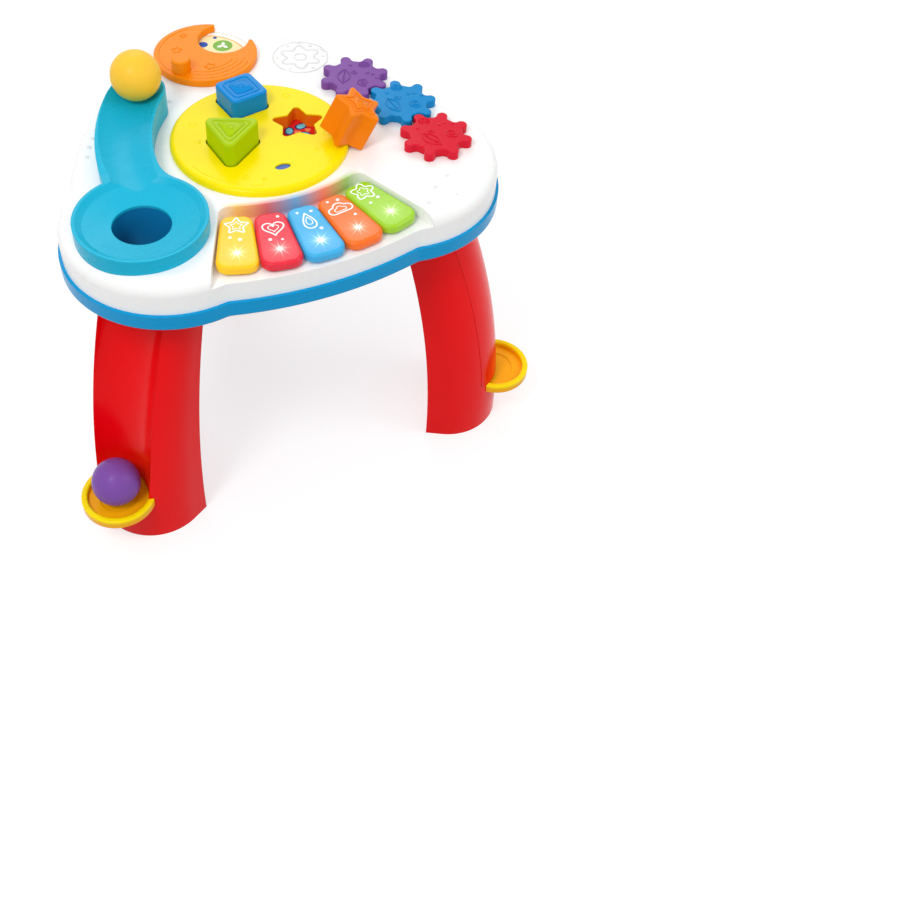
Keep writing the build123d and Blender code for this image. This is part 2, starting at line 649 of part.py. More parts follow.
# the star block leans with two points on the shell and its base on the plate's round edge
tip_half = atan2(STAR_IN * sin(radians(36)), STAR_R - STAR_IN * cos(radians(36)))
tip_reach = (STAR_R - STAR_ROUND / sin(tip_half)) * cos(radians(36)) + STAR_ROUND
lean = radians(STAR_LEAN)
touch_r = PLATE_R - PLATE_EDGE + PLATE_EDGE * sin(lean)
touch_z = PLATE_TOP - PLATE_EDGE + PLATE_EDGE * cos(lean) + FIT
foot_r = touch_r + (touch_z - SHELL_TOP) / tan(lean)
star_r = foot_r - tip_reach * cos(lean)
lean_x, lean_y = polar(1, STAR_OUT)
star_seat = Plane(
    origin=(*polar(star_r, STAR_OUT), SHELL_TOP + tip_reach * sin(lean) + FIT),
    x_dir=(lean_x * cos(lean), lean_y * cos(lean), -sin(lean)),
    z_dir=(lean_x * sin(lean), lean_y * sin(lean), cos(lean)),
)
star_plane = Plane(star_seat * Rotation(0, 0, 36))  # two of its points face down the slope

for shape, (draw, at, turn) in SHAPES.items():
    stand = star_plane if shape == "star" else block_plane(at, turn, TUB_FLOOR)
    with BuildPart() as block:
        with BuildSketch(stand):
            draw(0)
        extrude(amount=BLOCK_H[shape])
        top = block.faces().sort_by(lambda f: (f.center() - stand.origin).dot(stand.z_dir))[-1]
        fillet(top.edges(), BLOCK_EDGE)
        with BuildSketch(stand):
            draw(-BLOCK_WALL)
        extrude(amount=BLOCK_H[shape] - BLOCK_WALL, mode=Mode.SUBTRACT)
    write(block, f"{shape}_block")
    with BuildPart() as cap:
        with BuildSketch(stand):
            draw(-BLOCK_WALL - 0.1)
        extrude(amount=BLOCK_WALL)
    write(cap, f"{shape}_block_cap")

# ---- moon disc over its picture -------------------------------------------------------------
with BuildPart() as picture_disc:
    with BuildSketch(Plane.XY.offset(SHELL_TOP - PICTURE_T - FIT)):
        with Locations(MOON_AT):
            Circle(PICTURE_R)
            Circle(MOON_STEM_R + STEM_FIT, mode=Mode.SUBTRACT)
    extrude(amount=PICTURE_T)
write(picture_disc, "picture_disc")

STEM_LOW = SHELL_UNDER - SHELL_WALL - FIT - WASHER_T
with BuildPart() as moon_disc:
    with BuildSketch(Plane.XY.offset(TURN_Z)):
        with Locations(MOON_AT):
            Circle(MOON_R)
        with Locations(MOON_CUT_AT):
            Circle(MOON_CUT_R, mode=Mode.SUBTRACT)
        fillet(vertices(), 2.5)
    extrude(amount=MOON_T)
    fillet(moon_disc.edges().group_by(Axis.Z)[-1], 1.2)
    with BuildSketch(Plane.XY.offset(TURN_Z + MOON_T)):
        with Locations(KNOB_AT):
            Circle(KNOB_R)
    extrude(amount=KNOB_H)
    fillet(moon_disc.edges().group_by(Axis.Z)[-1], 2.0)
    with BuildSketch(Plane.XY.offset(STEM_LOW)):
        with Locations(MOON_AT):
            Circle(MOON_STEM_R)
    extrude(amount=TURN_Z + MOON_T / 2 - STEM_LOW)
write(moon_disc, "moon_disc")

with BuildPart() as moon_washer:
    with BuildSketch(Plane.XY.offset(STEM_LOW)):
        with Locations(MOON_AT):
            Circle(WASHER_R)
            Circle(MOON_STEM_R, mode=Mode.SUBTRACT)
    extrude(amount=WASHER_T)
write(moon_washer, "moon_washer")

# ---- gears ----------------------------------------------------------------------------------
GEAR_STEM_LOW = SHELL_UNDER - FIT - WASHER_T
TOOTH_PITCH = 360 / GEAR_TEETH


def meshing_phase(centre, phase, other):
    """Direction of a tooth of the other gear that meshes with this one."""
    line = degrees(atan2(other[1] - centre[1], other[0] - centre[0]))
    return line + 180 - (phase - line) + TOOTH_PITCH / 2


GEAR_TURN = {
    name: GEAR_PHASE if name == "blue" else meshing_phase(GEAR_AT["blue"], GEAR_PHASE, at)
    for name, at in GEAR_AT.items()
}
for name, at in GEAR_AT.items():
    with BuildPart() as gear:
        with BuildSketch(block_plane(at, GEAR_TURN[name], TURN_Z)):
            Circle(GEAR_ROOT_R)
            with PolarLocations(0, GEAR_TEETH):
                Rectangle(GEAR_TIP_R - GEAR_TOOTH / 2, GEAR_TOOTH, align=(Align.MIN, Align.CENTER))
            with PolarLocations(GEAR_TIP_R - GEAR_TOOTH / 2, GEAR_TEETH):
                Circle(GEAR_TOOTH / 2)
            roots = [v for v in vertices() if abs(hypot(v.X, v.Y) - GEAR_ROOT_R) < 0.5]
            fillet(roots, GEAR_TOOTH / 2.5)
        extrude(amount=GEAR_T)
        fillet(gear.edges().group_by(Axis.Z)[-1], 1.2)
        with Locations(block_plane(at, GEAR_TURN[name], TURN_Z + GEAR_T)):
            with Locations((*polar(DIMPLE_DIST, DIMPLE_TOOTH[name] * TOOTH_PITCH), DIMPLE_R * 0.45)):
                Sphere(DIMPLE_R * 1.1, mode=Mode.SUBTRACT)
        with BuildSketch(Plane.XY.offset(GEAR_STEM_LOW)):
            with Locations(at):
                Circle(GEAR_STEM_R)
        extrude(amount=TURN_Z - GEAR_STEM_LOW)
    write(gear, f"gear_{name}")
    with BuildPart() as washer:
        with BuildSketch(Plane.XY.offset(GEAR_STEM_LOW)):
            with Locations(at):
                Circle(WASHER_R)
                Circle(GEAR_STEM_R, mode=Mode.SUBTRACT)
        extrude(amount=WASHER_T)
    write(washer, f"gear_washer_{name}")

# ---- keyboard -------------------------------------------------------------------------------
KEY_HALF = KEY_PITCH / 2 - degrees(KEY_GAP / 2 / KEY_R0)
KEY_TURNS = [(i - (len(KEYS) - 1) / 2) * KEY_PITCH for i in range(len(KEYS))]
DOME_TOP = BOARD_Z + BOARD_T + DOME_H
for name, turn in zip(KEYS, KEY_TURNS):
    with BuildPart() as key:
        with BuildSketch(fan_plane(turn, TROUGH_Z + KEY_LIFT)):
            draw_sector(KEY_R0, KEY_R1, KEY_HALF, 10, 12)
        extrude(amount=KEY_TOP - TROUGH_Z - KEY_LIFT)
        fillet(key.edges().group_by(Axis.Z)[-1], KEY_EDGE)
        with BuildSketch(fan_plane(turn, TROUGH_Z + KEY_LIFT)):
            thin = degrees(KEY_WALL / KEY_R0)
            draw_sector(KEY_R0 + KEY_WALL, KEY_R1 - KEY_WALL, KEY_HALF - thin, 8, 10)
        extrude(amount=KEY_TOP - TROUGH_Z - KEY_LIFT - KEY_WALL, mode=Mode.SUBTRACT)
        with BuildSketch(fan_plane(turn, DOME_TOP + KEY_TRAVEL + 0.1)):
            with Locations(*[(r, 0) for r in STEM_RS]):
                Circle(STEM_R)
        extrude(amount=KEY_TOP - KEY_WALL / 2 - DOME_TOP - KEY_TRAVEL)
    write(key, f"key_{name}")

BOARD_IN, BOARD_OUT, BOARD_HALF = STEM_RS[0] - 9, STEM_RS[1] + 9, 22.0
with BuildPart() as key_board:
    with BuildSketch(fan_plane(0, BOARD_Z)):
        draw_sector(BOARD_IN, BOARD_OUT, BOARD_HALF, 3, 3)
    extrude(amount=BOARD_T)
    for turn in (-1.5 * KEY_PITCH, 1.5 * KEY_PITCH):
        with BuildSketch(fan_plane(turn, BOARD_Z)):
            with Locations(*[(r, 0) for r in STEM_RS]):
                Circle(SMALL_SCREW_R + FIT / 2)
        extrude(amount=BOARD_T, mode=Mode.SUBTRACT)
write(key_board, "key_board")

with BuildPart() as key_domes:
    for turn in KEY_TURNS:
        with BuildSketch(fan_plane(turn, BOARD_Z + BOARD_T)):
            with Locations(*[(r, 0) for r in STEM_RS]):
                Circle(STEM_R + 1)
        extrude(amount=DOME_H)
write(key_domes, "key_domes")

with BuildPart() as key_lights:
    for turn in KEY_TURNS:
        with BuildSketch(fan_plane(turn, BOARD_Z + BOARD_T)):
            with Locations((sum(STEM_RS) / 2, 0)):
                Circle(LED_R)
        extrude(amount=LED_H)
    fillet(key_lights.edges().group_by(Axis.Z)[-1], LED_R - 0.4)
write(key_lights, "key_lights")

# ---- electrics ------------------------------------------------------------------------------
with BuildPart() as main_board:
    with BuildSketch(Plane.XY.offset(MAIN_Z)):
        with Locations(MAIN_AT):
            RectangleRounded(MAIN_LONG, MAIN_WIDE, 3)
        with Locations(*MAIN_POSTS):
            Circle(SMALL_SCREW_R + FIT / 2, mode=Mode.SUBTRACT)
    extrude(amount=BOARD_T)
write(main_board, "main_board")

with BuildPart() as board_chips:
    with BuildSketch(Plane.XY.offset(MAIN_Z + BOARD_T)):
        with Locations(MAIN_AT):
            Rectangle(14, 14)
            with Locations((-18, 8), (-18, -2), (17, -9)):
                Rectangle(6, 4)
    extrude(amount=2)
write(board_chips, "board_chips")

BOARD_SCREWS = [
    fan_plane(turn, 0).from_local_coords((r, 0, 0))
    for turn in (-1.5 * KEY_PITCH, 1.5 * KEY_PITCH)
    for r in STEM_RS
]
with BuildPart() as board_screws:
    add_screws(
        [(p.X, p.Y) for p in map(Vector, BOARD_SCREWS)],
        BOARD_Z - 1.2,
        SMALL_SCREW_R,
        SMALL_SCREW_HEAD,
        1.2,
        BOARD_T + SMALL_SCREW_LEN - 1,
    )
    with Locations(*[(x, y, MAIN_Z + BOARD_T) for x, y in MAIN_POSTS]):
        Cylinder(SMALL_SCREW_HEAD, 1.2, align=(Align.CENTER, Align.CENTER, Align.MIN))
        length = BOARD_T + SMALL_SCREW_LEN - 1
        Cylinder(SMALL_SCREW_R, length, align=(Align.CENTER, Align.CENTER, Align.MAX))
write(board_screws, "board_screws")

with BuildPart() as speaker:
    with BuildSketch(Plane(origin=(*SPEAKER_AT, FLOOR_TOP), x_dir=(1, 0, 0), z_dir=(0, -1, 0))):
        with BuildLine():
            Polyline(
                (0, 1.2),
                (SPEAKER_R - 4, 1.2),
                (SPEAKER_R - 4, 0),
                (SPEAKER_R, 0),
                (SPEAKER_R, 2.5),
                (SPEAKER_R / 2, SPEAKER_H - 6),
                (SPEAKER_R / 2, SPEAKER_H),
                (0, SPEAKER_H),
                close=True,
            )
        make_face()
    revolve(axis=Axis((*SPEAKER_AT, 0), (0, 0, 1)))
write(speaker, "speaker")

with BuildPart() as battery_box:
    with BuildSketch(Plane.XY.offset(FLOOR_TOP)):
        with Locations(BOX_AT):
            Rectangle(BOX_LONG, BOX_WIDE)
    extrude(amount=BOX_TALL)
    with BuildSketch(Plane.XY.offset(FLOOR_TOP)):
        with Locations(BOX_AT):
            Rectangle(*BOX_IN)
    extrude(amount=BOX_TALL - BOX_WALL, mode=Mode.SUBTRACT)
    with BuildSketch(Plane.XY.offset(FLOOR_TOP)):
        with Locations(DOOR_SCREW):
            Circle(PILLAR_R + 0.5)
    extrude(amount=BOX_TALL - BOX_WALL)
    with BuildSketch(Plane.XY.offset(FLOOR_TOP)):
        with Locations(DOOR_SCREW):
            Circle(SCREW_R)
    extrude(amount=SCREW_LEN - 4, mode=Mode.SUBTRACT)
write(battery_box, "battery_box")

CELL_X = BOX_AT[0] - BOX_IN[0] / 2 + CELL_LEN / 2 + 2.0
CELL_Z = FLOOR_TOP + CELL_R + FIT
CELL_ROWS = [BOX_AT[1] + (i - (CELL_COUNT - 1) / 2) * (2 * CELL_R + 0.6) for i in range(CELL_COUNT)]
with BuildPart() as batteries:
    for y in CELL_ROWS:
        with BuildSketch(Plane(origin=(CELL_X - CELL_LEN / 2, y, CELL_Z), z_dir=(1, 0, 0))):
            Circle(CELL_R)
        extrude(amount=CELL_LEN - 1.2)
        with BuildSketch(Plane(origin=(CELL_X - CELL_LEN / 2, y, CELL_Z), z_dir=(1, 0, 0))):
            Circle(CELL_R / 2.6)
        extrude(amount=CELL_LEN)
write(batteries, "batteries")

with BuildPart() as battery_contacts:
    for x in (CELL_X - CELL_LEN / 2 - 0.4, CELL_X + CELL_LEN / 2 + 0.4):
        with Locations((x, BOX_AT[1], CELL_Z)):
            Box(0.8, BOX_IN[1] - 2, 2 * CELL_R - 2)
write(battery_contacts, "battery_contacts")

with BuildPart() as battery_door:
    with BuildSketch(Plane.XY.offset(TRAY_Z)):
        with Locations(BOX_AT):
            Rectangle(BOX_IN[0] - 2 * FIT, BOX_IN[1] - 2 * FIT)
        with Locations(DOOR_SCREW):
            Circle(SCREW_R + FIT, mode=Mode.SUBTRACT)
    extrude(amount=TRAY_FLOOR - FIT)
    with BuildSketch(Plane.XY.offset(TRAY_Z)):
        with Locations(DOOR_SCREW):
            Circle(SCREW_HEAD_R + FIT)
    extrude(amount=HEAD_H, mode=Mode.SUBTRACT)
write(battery_door, "battery_door")

with BuildPart() as battery_door_screw:
    add_screws([DOOR_SCREW], TRAY_Z, SCREW_R, SCREW_HEAD_R, HEAD_H, SCREW_LEN - 5)
write(battery_door_screw, "battery_door_screw")

with BuildPart() as power_switch:
    at = (SWITCH_AT[0] - SWITCH_TRAVEL / 2, SWITCH_AT[1])
    with BuildSketch(Plane.XY.offset(TRAY_Z - 3)):
        with Locations(at):
            Rectangle(SWITCH_LONG, SWITCH_WIDE)
    extrude(amount=TRAY_FLOOR + 3)
    with BuildSketch(Plane.XY.offset(FLOOR_TOP)):
        with Locations(at):
            Rectangle(SWITCH_LONG + 12, SWITCH_WIDE + 6)
    extrude(amount=2)
write(power_switch, "power_switch")
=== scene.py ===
"""Looks of a toddler's activity table: finishes, raised motifs, printed keys and the studio.

Lengths are in millimetres in the tables and settings and turn to metres where a mesh is made.
The studio's floor, lamps and camera are placed in metres.
"""

import json
from math import cos, pi, radians, sin

import bmesh
import bpy
from bpy.props import FloatProperty, FloatVectorProperty, PointerProperty
from mathutils import Matrix, Vector
from mathutils.bvhtree import BVHTree


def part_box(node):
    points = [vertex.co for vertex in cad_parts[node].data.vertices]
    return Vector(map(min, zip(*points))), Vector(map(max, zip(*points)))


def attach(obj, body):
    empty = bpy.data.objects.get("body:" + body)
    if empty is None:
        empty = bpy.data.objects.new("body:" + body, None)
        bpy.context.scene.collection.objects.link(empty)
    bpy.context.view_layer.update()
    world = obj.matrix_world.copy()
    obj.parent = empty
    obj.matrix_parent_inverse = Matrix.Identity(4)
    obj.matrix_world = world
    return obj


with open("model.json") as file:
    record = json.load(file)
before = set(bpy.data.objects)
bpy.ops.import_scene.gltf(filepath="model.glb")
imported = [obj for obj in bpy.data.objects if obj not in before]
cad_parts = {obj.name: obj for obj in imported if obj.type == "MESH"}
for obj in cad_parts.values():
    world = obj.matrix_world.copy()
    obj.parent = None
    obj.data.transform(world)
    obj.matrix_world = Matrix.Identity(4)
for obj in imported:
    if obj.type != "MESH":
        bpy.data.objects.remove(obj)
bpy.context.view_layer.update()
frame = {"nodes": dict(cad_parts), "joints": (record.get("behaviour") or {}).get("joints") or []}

bl_info = {
    "name": "Activity Table",
    "version": (1, 0, 0),
    "blender": (4, 5, 0),
    "location": "3D View > Sidebar > Activity Table",
    "description": "Finishes, raised motifs, printed keys and studio for an activity table",
    "category": "Object",
}

MM = 0.001
KEYS = ("yellow", "red", "blue", "orange", "green")
GEARS = ("purple", "blue", "red")
LEGS = ("left", "right", "rear")
UPWARD = 0.8  # least Z of a normal that counts as upward
RAY_FROM = 600.0  # level above the table from which lines are cast down
PRINT_SUNK = 0.1  # depth of printed ink below its face
NODES = frame["nodes"]


# ---- places read from the frame -----------------------------------------------------------
def top_of(node):
    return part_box(node)[1].z / MM


def flat_top(node):
    """Matrix on a node's largest upward face, its X towards the face's furthest corner."""
    mesh = NODES[node].data
    groups = {}
    for face in mesh.polygons:
        if face.normal.z > UPWARD:
            key = tuple(round(v, 2) for v in face.normal)
            groups.setdefault(key, []).append(face)
    faces = max(groups.values(), key=lambda fs: sum(f.area for f in fs))
    area = sum(f.area for f in faces)
    middle = sum((f.center * f.area for f in faces), Vector()) / area
    up = sum((f.normal * f.area for f in faces), Vector()).normalized()
    rim = [mesh.vertices[i].co for f in faces for i in f.vertices]
    along = max((p - middle for p in rim), key=lambda d: d.length)
    along = (along - up * along.dot(up)).normalized()
    return Matrix.Translation(middle) @ Matrix((along, up.cross(along), up)).transposed().to_4x4()


def level(x, y, z, turn=0.0):
    """Matrix on a level face at a point in mm, its X turned by so many degrees."""
    return Matrix.Translation(Vector((x, y, z)) * MM) @ Matrix.Rotation(radians(turn), 4, "Z")


def tree_of(node):
    mesh = NODES[node].data
    faces = [tuple(p.vertices) for p in mesh.polygons]
    return BVHTree.FromPolygons([v.co.copy() for v in mesh.vertices], faces)


def on_surface(tree, x, y):
    """Matrix where a line down from above meets a surface, its Z along the surface's normal."""
    hit, normal, _, _ = tree.ray_cast(Vector((x, y, RAY_FROM)) * MM, Vector((0, 0, -1)))
    if hit is None:
        raise RuntimeError(f"nothing below {x}, {y}")
    return Matrix.Translation(hit) @ normal.to_track_quat("Z", "Y").to_matrix().to_4x4()


# ---- outlines in mm ------------------------------------------------------------------------
def polar(radius, angle):
    return radius * cos(angle), radius * sin(angle)


def ring(radius, x=0.0, y=0.0, steps=32):
    return [
        (x + radius * cos(2 * pi * i / steps), y + radius * sin(2 * pi * i / steps))
        for i in range(steps)
    ]


def petals(radius, count, depth, steps=96, turn=0.0, x=0.0, y=0.0):
    """Round outline whose radius swells once for each petal."""
    outline = []
    for i in range(steps):
        a = 2 * pi * i / steps
        r = radius * (1 + depth * cos(count * (a - radians(turn))))
        outline.append((x + r * cos(a), y + r * sin(a)))
    return outline


def star(radius, inner, x=0.0, y=0.0, turn=90.0, points=5):
    outline = []
    for i in range(2 * points):
        r, a = (inner, radius)[i % 2 == 0], radians(turn + 180 * i / points)
        outline.append((x + r * cos(a), y + r * sin(a)))
    return outline


def rounded(points, radius, steps=5):
    """The same closed outline with each corner rounded."""
    outline = []
    count = len(points)
    for i, corner in enumerate(points):
        corner = Vector(corner)
        before = (Vector(points[i - 1]) - corner).normalized() * radius
        after = (Vector(points[(i + 1) % count]) - corner).normalized() * radius
        for k in range(steps + 1):
            t = k / steps
            point = corner + before * (1 - t) ** 2 + after * t**2
            outline.append((point.x, point.y))
    return outline


def leaf(length, width, x=0.0, y=0.0, turn=0.0, steps=12):
    outline = [(length * (i / steps - 0.5), width / 2 * sin(pi * i / steps)) for i in range(steps)]
    outline += [(-px, -py) for px, py in outline]
    return moved(outline, x, y, turn)


def drop(length, x=0.0, y=0.0, turn=0.0, steps=28):
    outline = []
    for i in range(steps):
        a = 2 * pi * i / steps
        outline.append((length / 2 * cos(a), length * 0.36 * sin(a) * sin(a / 2) ** 1.2))
    return moved(outline, x, y, turn)


def heart(size, x=0.0, y=0.0, turn=0.0, steps=36):
    outline = []
    for i in range(steps):
        a = 2 * pi * i / steps
        px = 16 * sin(a) ** 3
        py = 13 * cos(a) - 5 * cos(2 * a) - 2 * cos(3 * a) - cos(4 * a)
        outline.append((px * size / 32, py * size / 32))
    return moved(outline, x, y, turn)


def cloud(size, x=0.0, y=0.0, turn=0.0):
    """Three bumps over a flat foot."""
    outline = []
    for cx, cy, r, first, last in (
        (0.32, 0.0, 0.18, -90, 70),
        (0.02, 0.12, 0.25, 20, 160),
        (-0.3, 0.0, 0.18, 110, 270),
    ):
        for i in range(9):
            a = radians(first + (last - first) * i / 8)
            outline.append((size * (cx + r * cos(a)), size * (cy + r * sin(a))))
    return moved(outline, x, y, turn)


def spiral(radius, turns, x=0.0, y=0.0, turn=0.0, steps=22):
    count = int(turns * steps)
    points = []
    for i in range(count + 1):
        r = radius * (0.12 + 0.88 * i / count)
        a = radians(turn) + 2 * pi * turns * i / count
        points.append((x + r * cos(a), y + r * sin(a)))
    return points


def arc(radius, first, last, x=0.0, y=0.0, steps=18):
    points = []
    for i in range(steps + 1):
        a = radians(first + (last - first) * i / steps)
        points.append((x + radius * cos(a), y + radius * sin(a)))
    return points


def moved(points, x, y, turn):
    c, s = cos(radians(turn)), sin(radians(turn))
    return [(x + px * c - py * s, y + px * s + py * c) for px, py in points]


# ---- meshes --------------------------------------------------------------------------------
def finish_mesh(name, build, material, body):
    """A mesh object from a bmesh, with its finish, riding on a CAD body."""
    bmesh.ops.recalc_face_normals(build, faces=build.faces)
    mesh = bpy.data.meshes.new(name)
    build.to_mesh(mesh)
    build.free()
    mesh.materials.append(material)
    for face in mesh.polygons:
        face.use_smooth = True
    piece = bpy.data.objects.new(name, mesh)
    bpy.context.scene.collection.objects.link(piece)
    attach(piece, body)


def half_round(height, sunk, steps):
    """Section of a raised line as (share of its width, height), with its foot sunk."""
    top = [(-0.5 * cos(pi * i / steps), height * sin(pi * i / steps)) for i in range(steps + 1)]
    return [(-0.5, -sunk)] + top + [(0.5, -sunk)]


def vert(build, place, x, y, z):
    """A vertex from millimetres on a placed face."""
    return build.verts.new(place @ (Vector((x, y, z)) * MM))


def bridge(build, rows):
    """Faces between closed rows of vertices."""
    for a, b in zip(rows, rows[1:]):
        for k in range(len(a)):
            n = (k + 1) % len(a)
            build.faces.new((a[k], a[n], b[n], b[k]))


def add_ridge(build, points, closed, width, height, place, sunk=0.4):
    """A half-round line along points on a face; its foot is sunk a little into the face."""
    count = len(points)
    flat = [Vector(p) for p in points]
    section = half_round(height, sunk, 6)
    rows = []
    for i in range(count):
        ahead = flat[(i + 1) % count] if closed or i + 1 < count else flat[i]
        behind = flat[i - 1] if closed or i else flat[i]
        along = (ahead - behind).normalized()
        side = Vector((along.y, -along.x))
        row = []
        for across, up in section:
            spot = flat[i] + side * across * width
            row.append(vert(build, place, spot.x, spot.y, up))
        rows.append(row)
    if closed:
        rows.append(rows[0])
    bridge(build, rows)
    if not closed:
        build.faces.new(rows[0])
        build.faces.new(list(reversed(rows[-1])))


def add_pad(build, points, height, place, sunk=0.4, slope=0.35):
    """A flat-topped raised shape with a softly sloped edge."""
    middle = sum((Vector(p) for p in points), Vector((0, 0))) / len(points)
    reach = max((Vector(p) - middle).length for p in points)
    inner = max(0.2, 1 - slope / reach)
    rows = []
    for share, up in ((1, -sunk), (1, height * 0.55), (inner, height)):
        row = []
        for p in points:
            spot = middle + (Vector(p) - middle) * share
            row.append(vert(build, place, spot.x, spot.y, up))
        rows.append(row)
    bridge(build, rows)
    build.faces.new(list(reversed(rows[0])))
    build.faces.new(rows[-1])


def add_seam(build, spots, width, height):
    """A thin half-round line over a curved wall, along spots of (point, normal) in metres."""
    rows = []
    section = half_round(height, 0.3, 4)
    for i, (point, normal) in enumerate(spots):
        ahead, behind = spots[min(i + 1, len(spots) - 1)][0], spots[max(i - 1, 0)][0]
        side = (ahead - behind).normalized().cross(normal)
        rows.append(
            [
                build.verts.new(point + side * across * width * MM + normal * up * MM)
                for across, up in section
            ]
        )
    bridge(build, rows)
    build.faces.new(rows[0])
    build.faces.new(list(reversed(rows[-1])))


def add_bead(build, radius, height, place):
    """A low round dome."""
    steps, tiers = 20, 5
    rows = []
    for t in range(tiers):
        a = pi / 2 * t / tiers
        spots = ring(radius * cos(a), steps=steps)
        rows.append([vert(build, place, x, y, height * sin(a)) for x, y in spots])
    tip = build.verts.new(place @ Vector((0, 0, height * MM)))
    bridge(build, rows)
    for k in range(steps):
        build.faces.new((rows[-1][k], rows[-1][(k + 1) % steps], tip))
    foot = [build.verts.new(v.co - place.to_3x3() @ Vector((0, 0, 0.4 * MM))) for v in rows[0]]
    bridge(build, [foot, rows[0]])
    build.faces.new(list(reversed(foot)))


# ---- colours and nodes ---------------------------------------------------------------------
def linear(code):
    """Linear RGBA from an sRGB hex code."""
    parts = [int(code[i : i + 2], 16) / 255 for i in (1, 3, 5)]
    return tuple(v / 12.92 if v <= 0.04045 else ((v + 0.055) / 1.055) ** 2.4 for v in parts) + (1,)


def shade(colour, factor):
    return tuple(min(1.0, v * factor) for v in colour[:3]) + (1,)


def add(tree, kind, settings=None, **inputs):
    """A node with its settings; an input is a value, or an output socket to link from."""
    node = tree.nodes.new(kind)
    for key, value in (settings or {}).items():
        setattr(node, key, value)
    for key, value in inputs.items():
        socket = node.inputs[int(key[1:]) if key[1:].isdigit() else key.replace("_", " ")]
        if isinstance(value, bpy.types.NodeSocket):
            tree.links.new(value, socket)
        else:
            socket.default_value = value
    return node


def blend_colour(tree, factor, first, second):
    mix = add(tree, "ShaderNodeMix", {"data_type": "RGBA"}, i0=factor, i6=first, i7=second)
    return mix.outputs[2]


def maths(tree, operation, first, second=0.0, clamp=False):
    settings = {"operation": operation, "use_clamp": clamp}
    return add(tree, "ShaderNodeMath", settings, i0=first, i1=second).outputs[0]


def map_range(tree, value, old, new, smooth=False):
    """A value carried from one (low, high) to another."""
    settings = {"interpolation_type": "SMOOTHSTEP"} if smooth else None
    ends = {"i1": old[0], "i2": old[1], "i3": new[0], "i4": new[1]}
    return add(tree, "ShaderNodeMapRange", settings, Value=value, **ends).outputs[0]


def noise(tree, coords, size, detail):
    """Noise with a grain of so many mm."""
    node = add(
        tree, "ShaderNodeTexNoise", None, Vector=coords, Scale=1 / (size * MM), Detail=detail
    )
    return node.outputs[0]


def axes_from(tree, coords, point):
    """The coordinates' axes, measured from an (x, y) point in metres."""
    shift = add(
        tree, "ShaderNodeVectorMath", {"operation": "SUBTRACT"}, i0=coords, i1=(*point, 0.0)
    )
    return add(tree, "ShaderNodeSeparateXYZ", None, i0=shift.outputs[0]).outputs


def level_distance(tree, axes):
    """Distance from the upright axis."""
    flat = add(tree, "ShaderNodeCombineXYZ", None, X=axes[0], Y=axes[1])
    length = add(tree, "ShaderNodeVectorMath", {"operation": "LENGTH"}, i0=flat.outputs[0])
    return length.outputs["Value"]


def fix(shader, **values):
    """Constant values on a shader's own sockets."""
    for key, value in values.items():
        shader.inputs[key.replace("_", " ")].default_value = value


def drive(tree, shader, **sockets):
    """Links from output sockets to a shader's inputs."""
    for key, socket in sockets.items():
        tree.links.new(socket, shader.inputs[key.replace("_", " ")])


def opened(material):
    """A moulding's tree, shader, coordinates and the socket that feeds its colour."""
    tree = material.node_tree
    shader = tree.nodes["Principled BSDF"]
    coords = next(n for n in tree.nodes if n.type == "TEX_COORD").outputs["Object"]
    return tree, shader, coords, shader.inputs["Base Color"].links[0].from_socket


def start_material(name):
    """A new material's tree, shader and object coordinates."""
    material = bpy.data.materials.new(name)
    material.use_nodes = True
    tree = material.node_tree
    shader = tree.nodes["Principled BSDF"]
    coords = add(tree, "ShaderNodeTexCoord").outputs["Object"]
    return material, tree, shader, coords


def moulded(name, colour, roughness=0.2, edge=0.6, grain=0.9, depth=0.003, coat=0.0, soft=0.0):
    """Injection-moulded ABS from a polished tool.

    The colour drifts slightly with the melt's flow, a faint orange peel breaks the highlights,
    and the edges are softly rounded.
    """
    material, tree, shader, coords = start_material(name)
    tint = blend_colour(
        tree, noise(tree, coords, 70, 2.0), shade(colour, 0.965), shade(colour, 1.02)
    )
    haze = noise(tree, coords, 11, 4.0)
    gloss = map_range(tree, haze, (0.3, 0.75), (roughness * 0.85, roughness * 1.3))
    bump = add(
        tree,
        "ShaderNodeBump",
        None,
        Height=noise(tree, coords, grain, 3.0),
        Strength=0.25,
        Distance=depth * MM,
        Normal=add(tree, "ShaderNodeBevel", {"samples": 6}, Radius=edge * MM).outputs[0],
    )
    drive(tree, shader, Base_Color=tint, Roughness=gloss, Normal=bump.outputs[0])
    fix(shader, IOR=1.53, Specular_IOR_Level=0.12)
    if coat:
        fix(shader, Coat_Weight=coat, Coat_Roughness=0.08)
    if soft:
        fix(shader, Subsurface_Weight=soft, Subsurface_Scale=0.003)
    return material


def painted_shade_below(material, code, levels, reach=None):
    """Painted shade at a moulding's foot: a deeper tone, full at the lower level, gone at the
    upper.

    With a reach, the tone stays within that distance of the table's middle.
    """
    tree, shader, coords, base = opened(material)
    axes = add(tree, "ShaderNodeSeparateXYZ", None, i0=coords).outputs
    low, high = levels
    share = map_range(tree, axes[2], (low * MM, high * MM), (1.0, 0.0), smooth=True)
    if reach:
        within = maths(tree, "LESS_THAN", level_distance(tree, axes), reach * MM)
        share = maths(tree, "MULTIPLY", share, within)
    drive(tree, shader, Base_Color=blend_colour(tree, share, base, linear(code)))


def matt(name, colour, roughness=0.6):
    """Spark-eroded polypropylene: a fine dry grain that spreads every highlight."""
    return moulded(name, colour, roughness=roughness, edge=0.3, grain=0.5, depth=0.03)


def ink(name, colour, roughness=0.35):
    """Pad-printed ink: a thin flat film with slightly uneven cover."""
    return moulded(name, colour, roughness=roughness, edge=0.1, grain=0.3, depth=0.002)


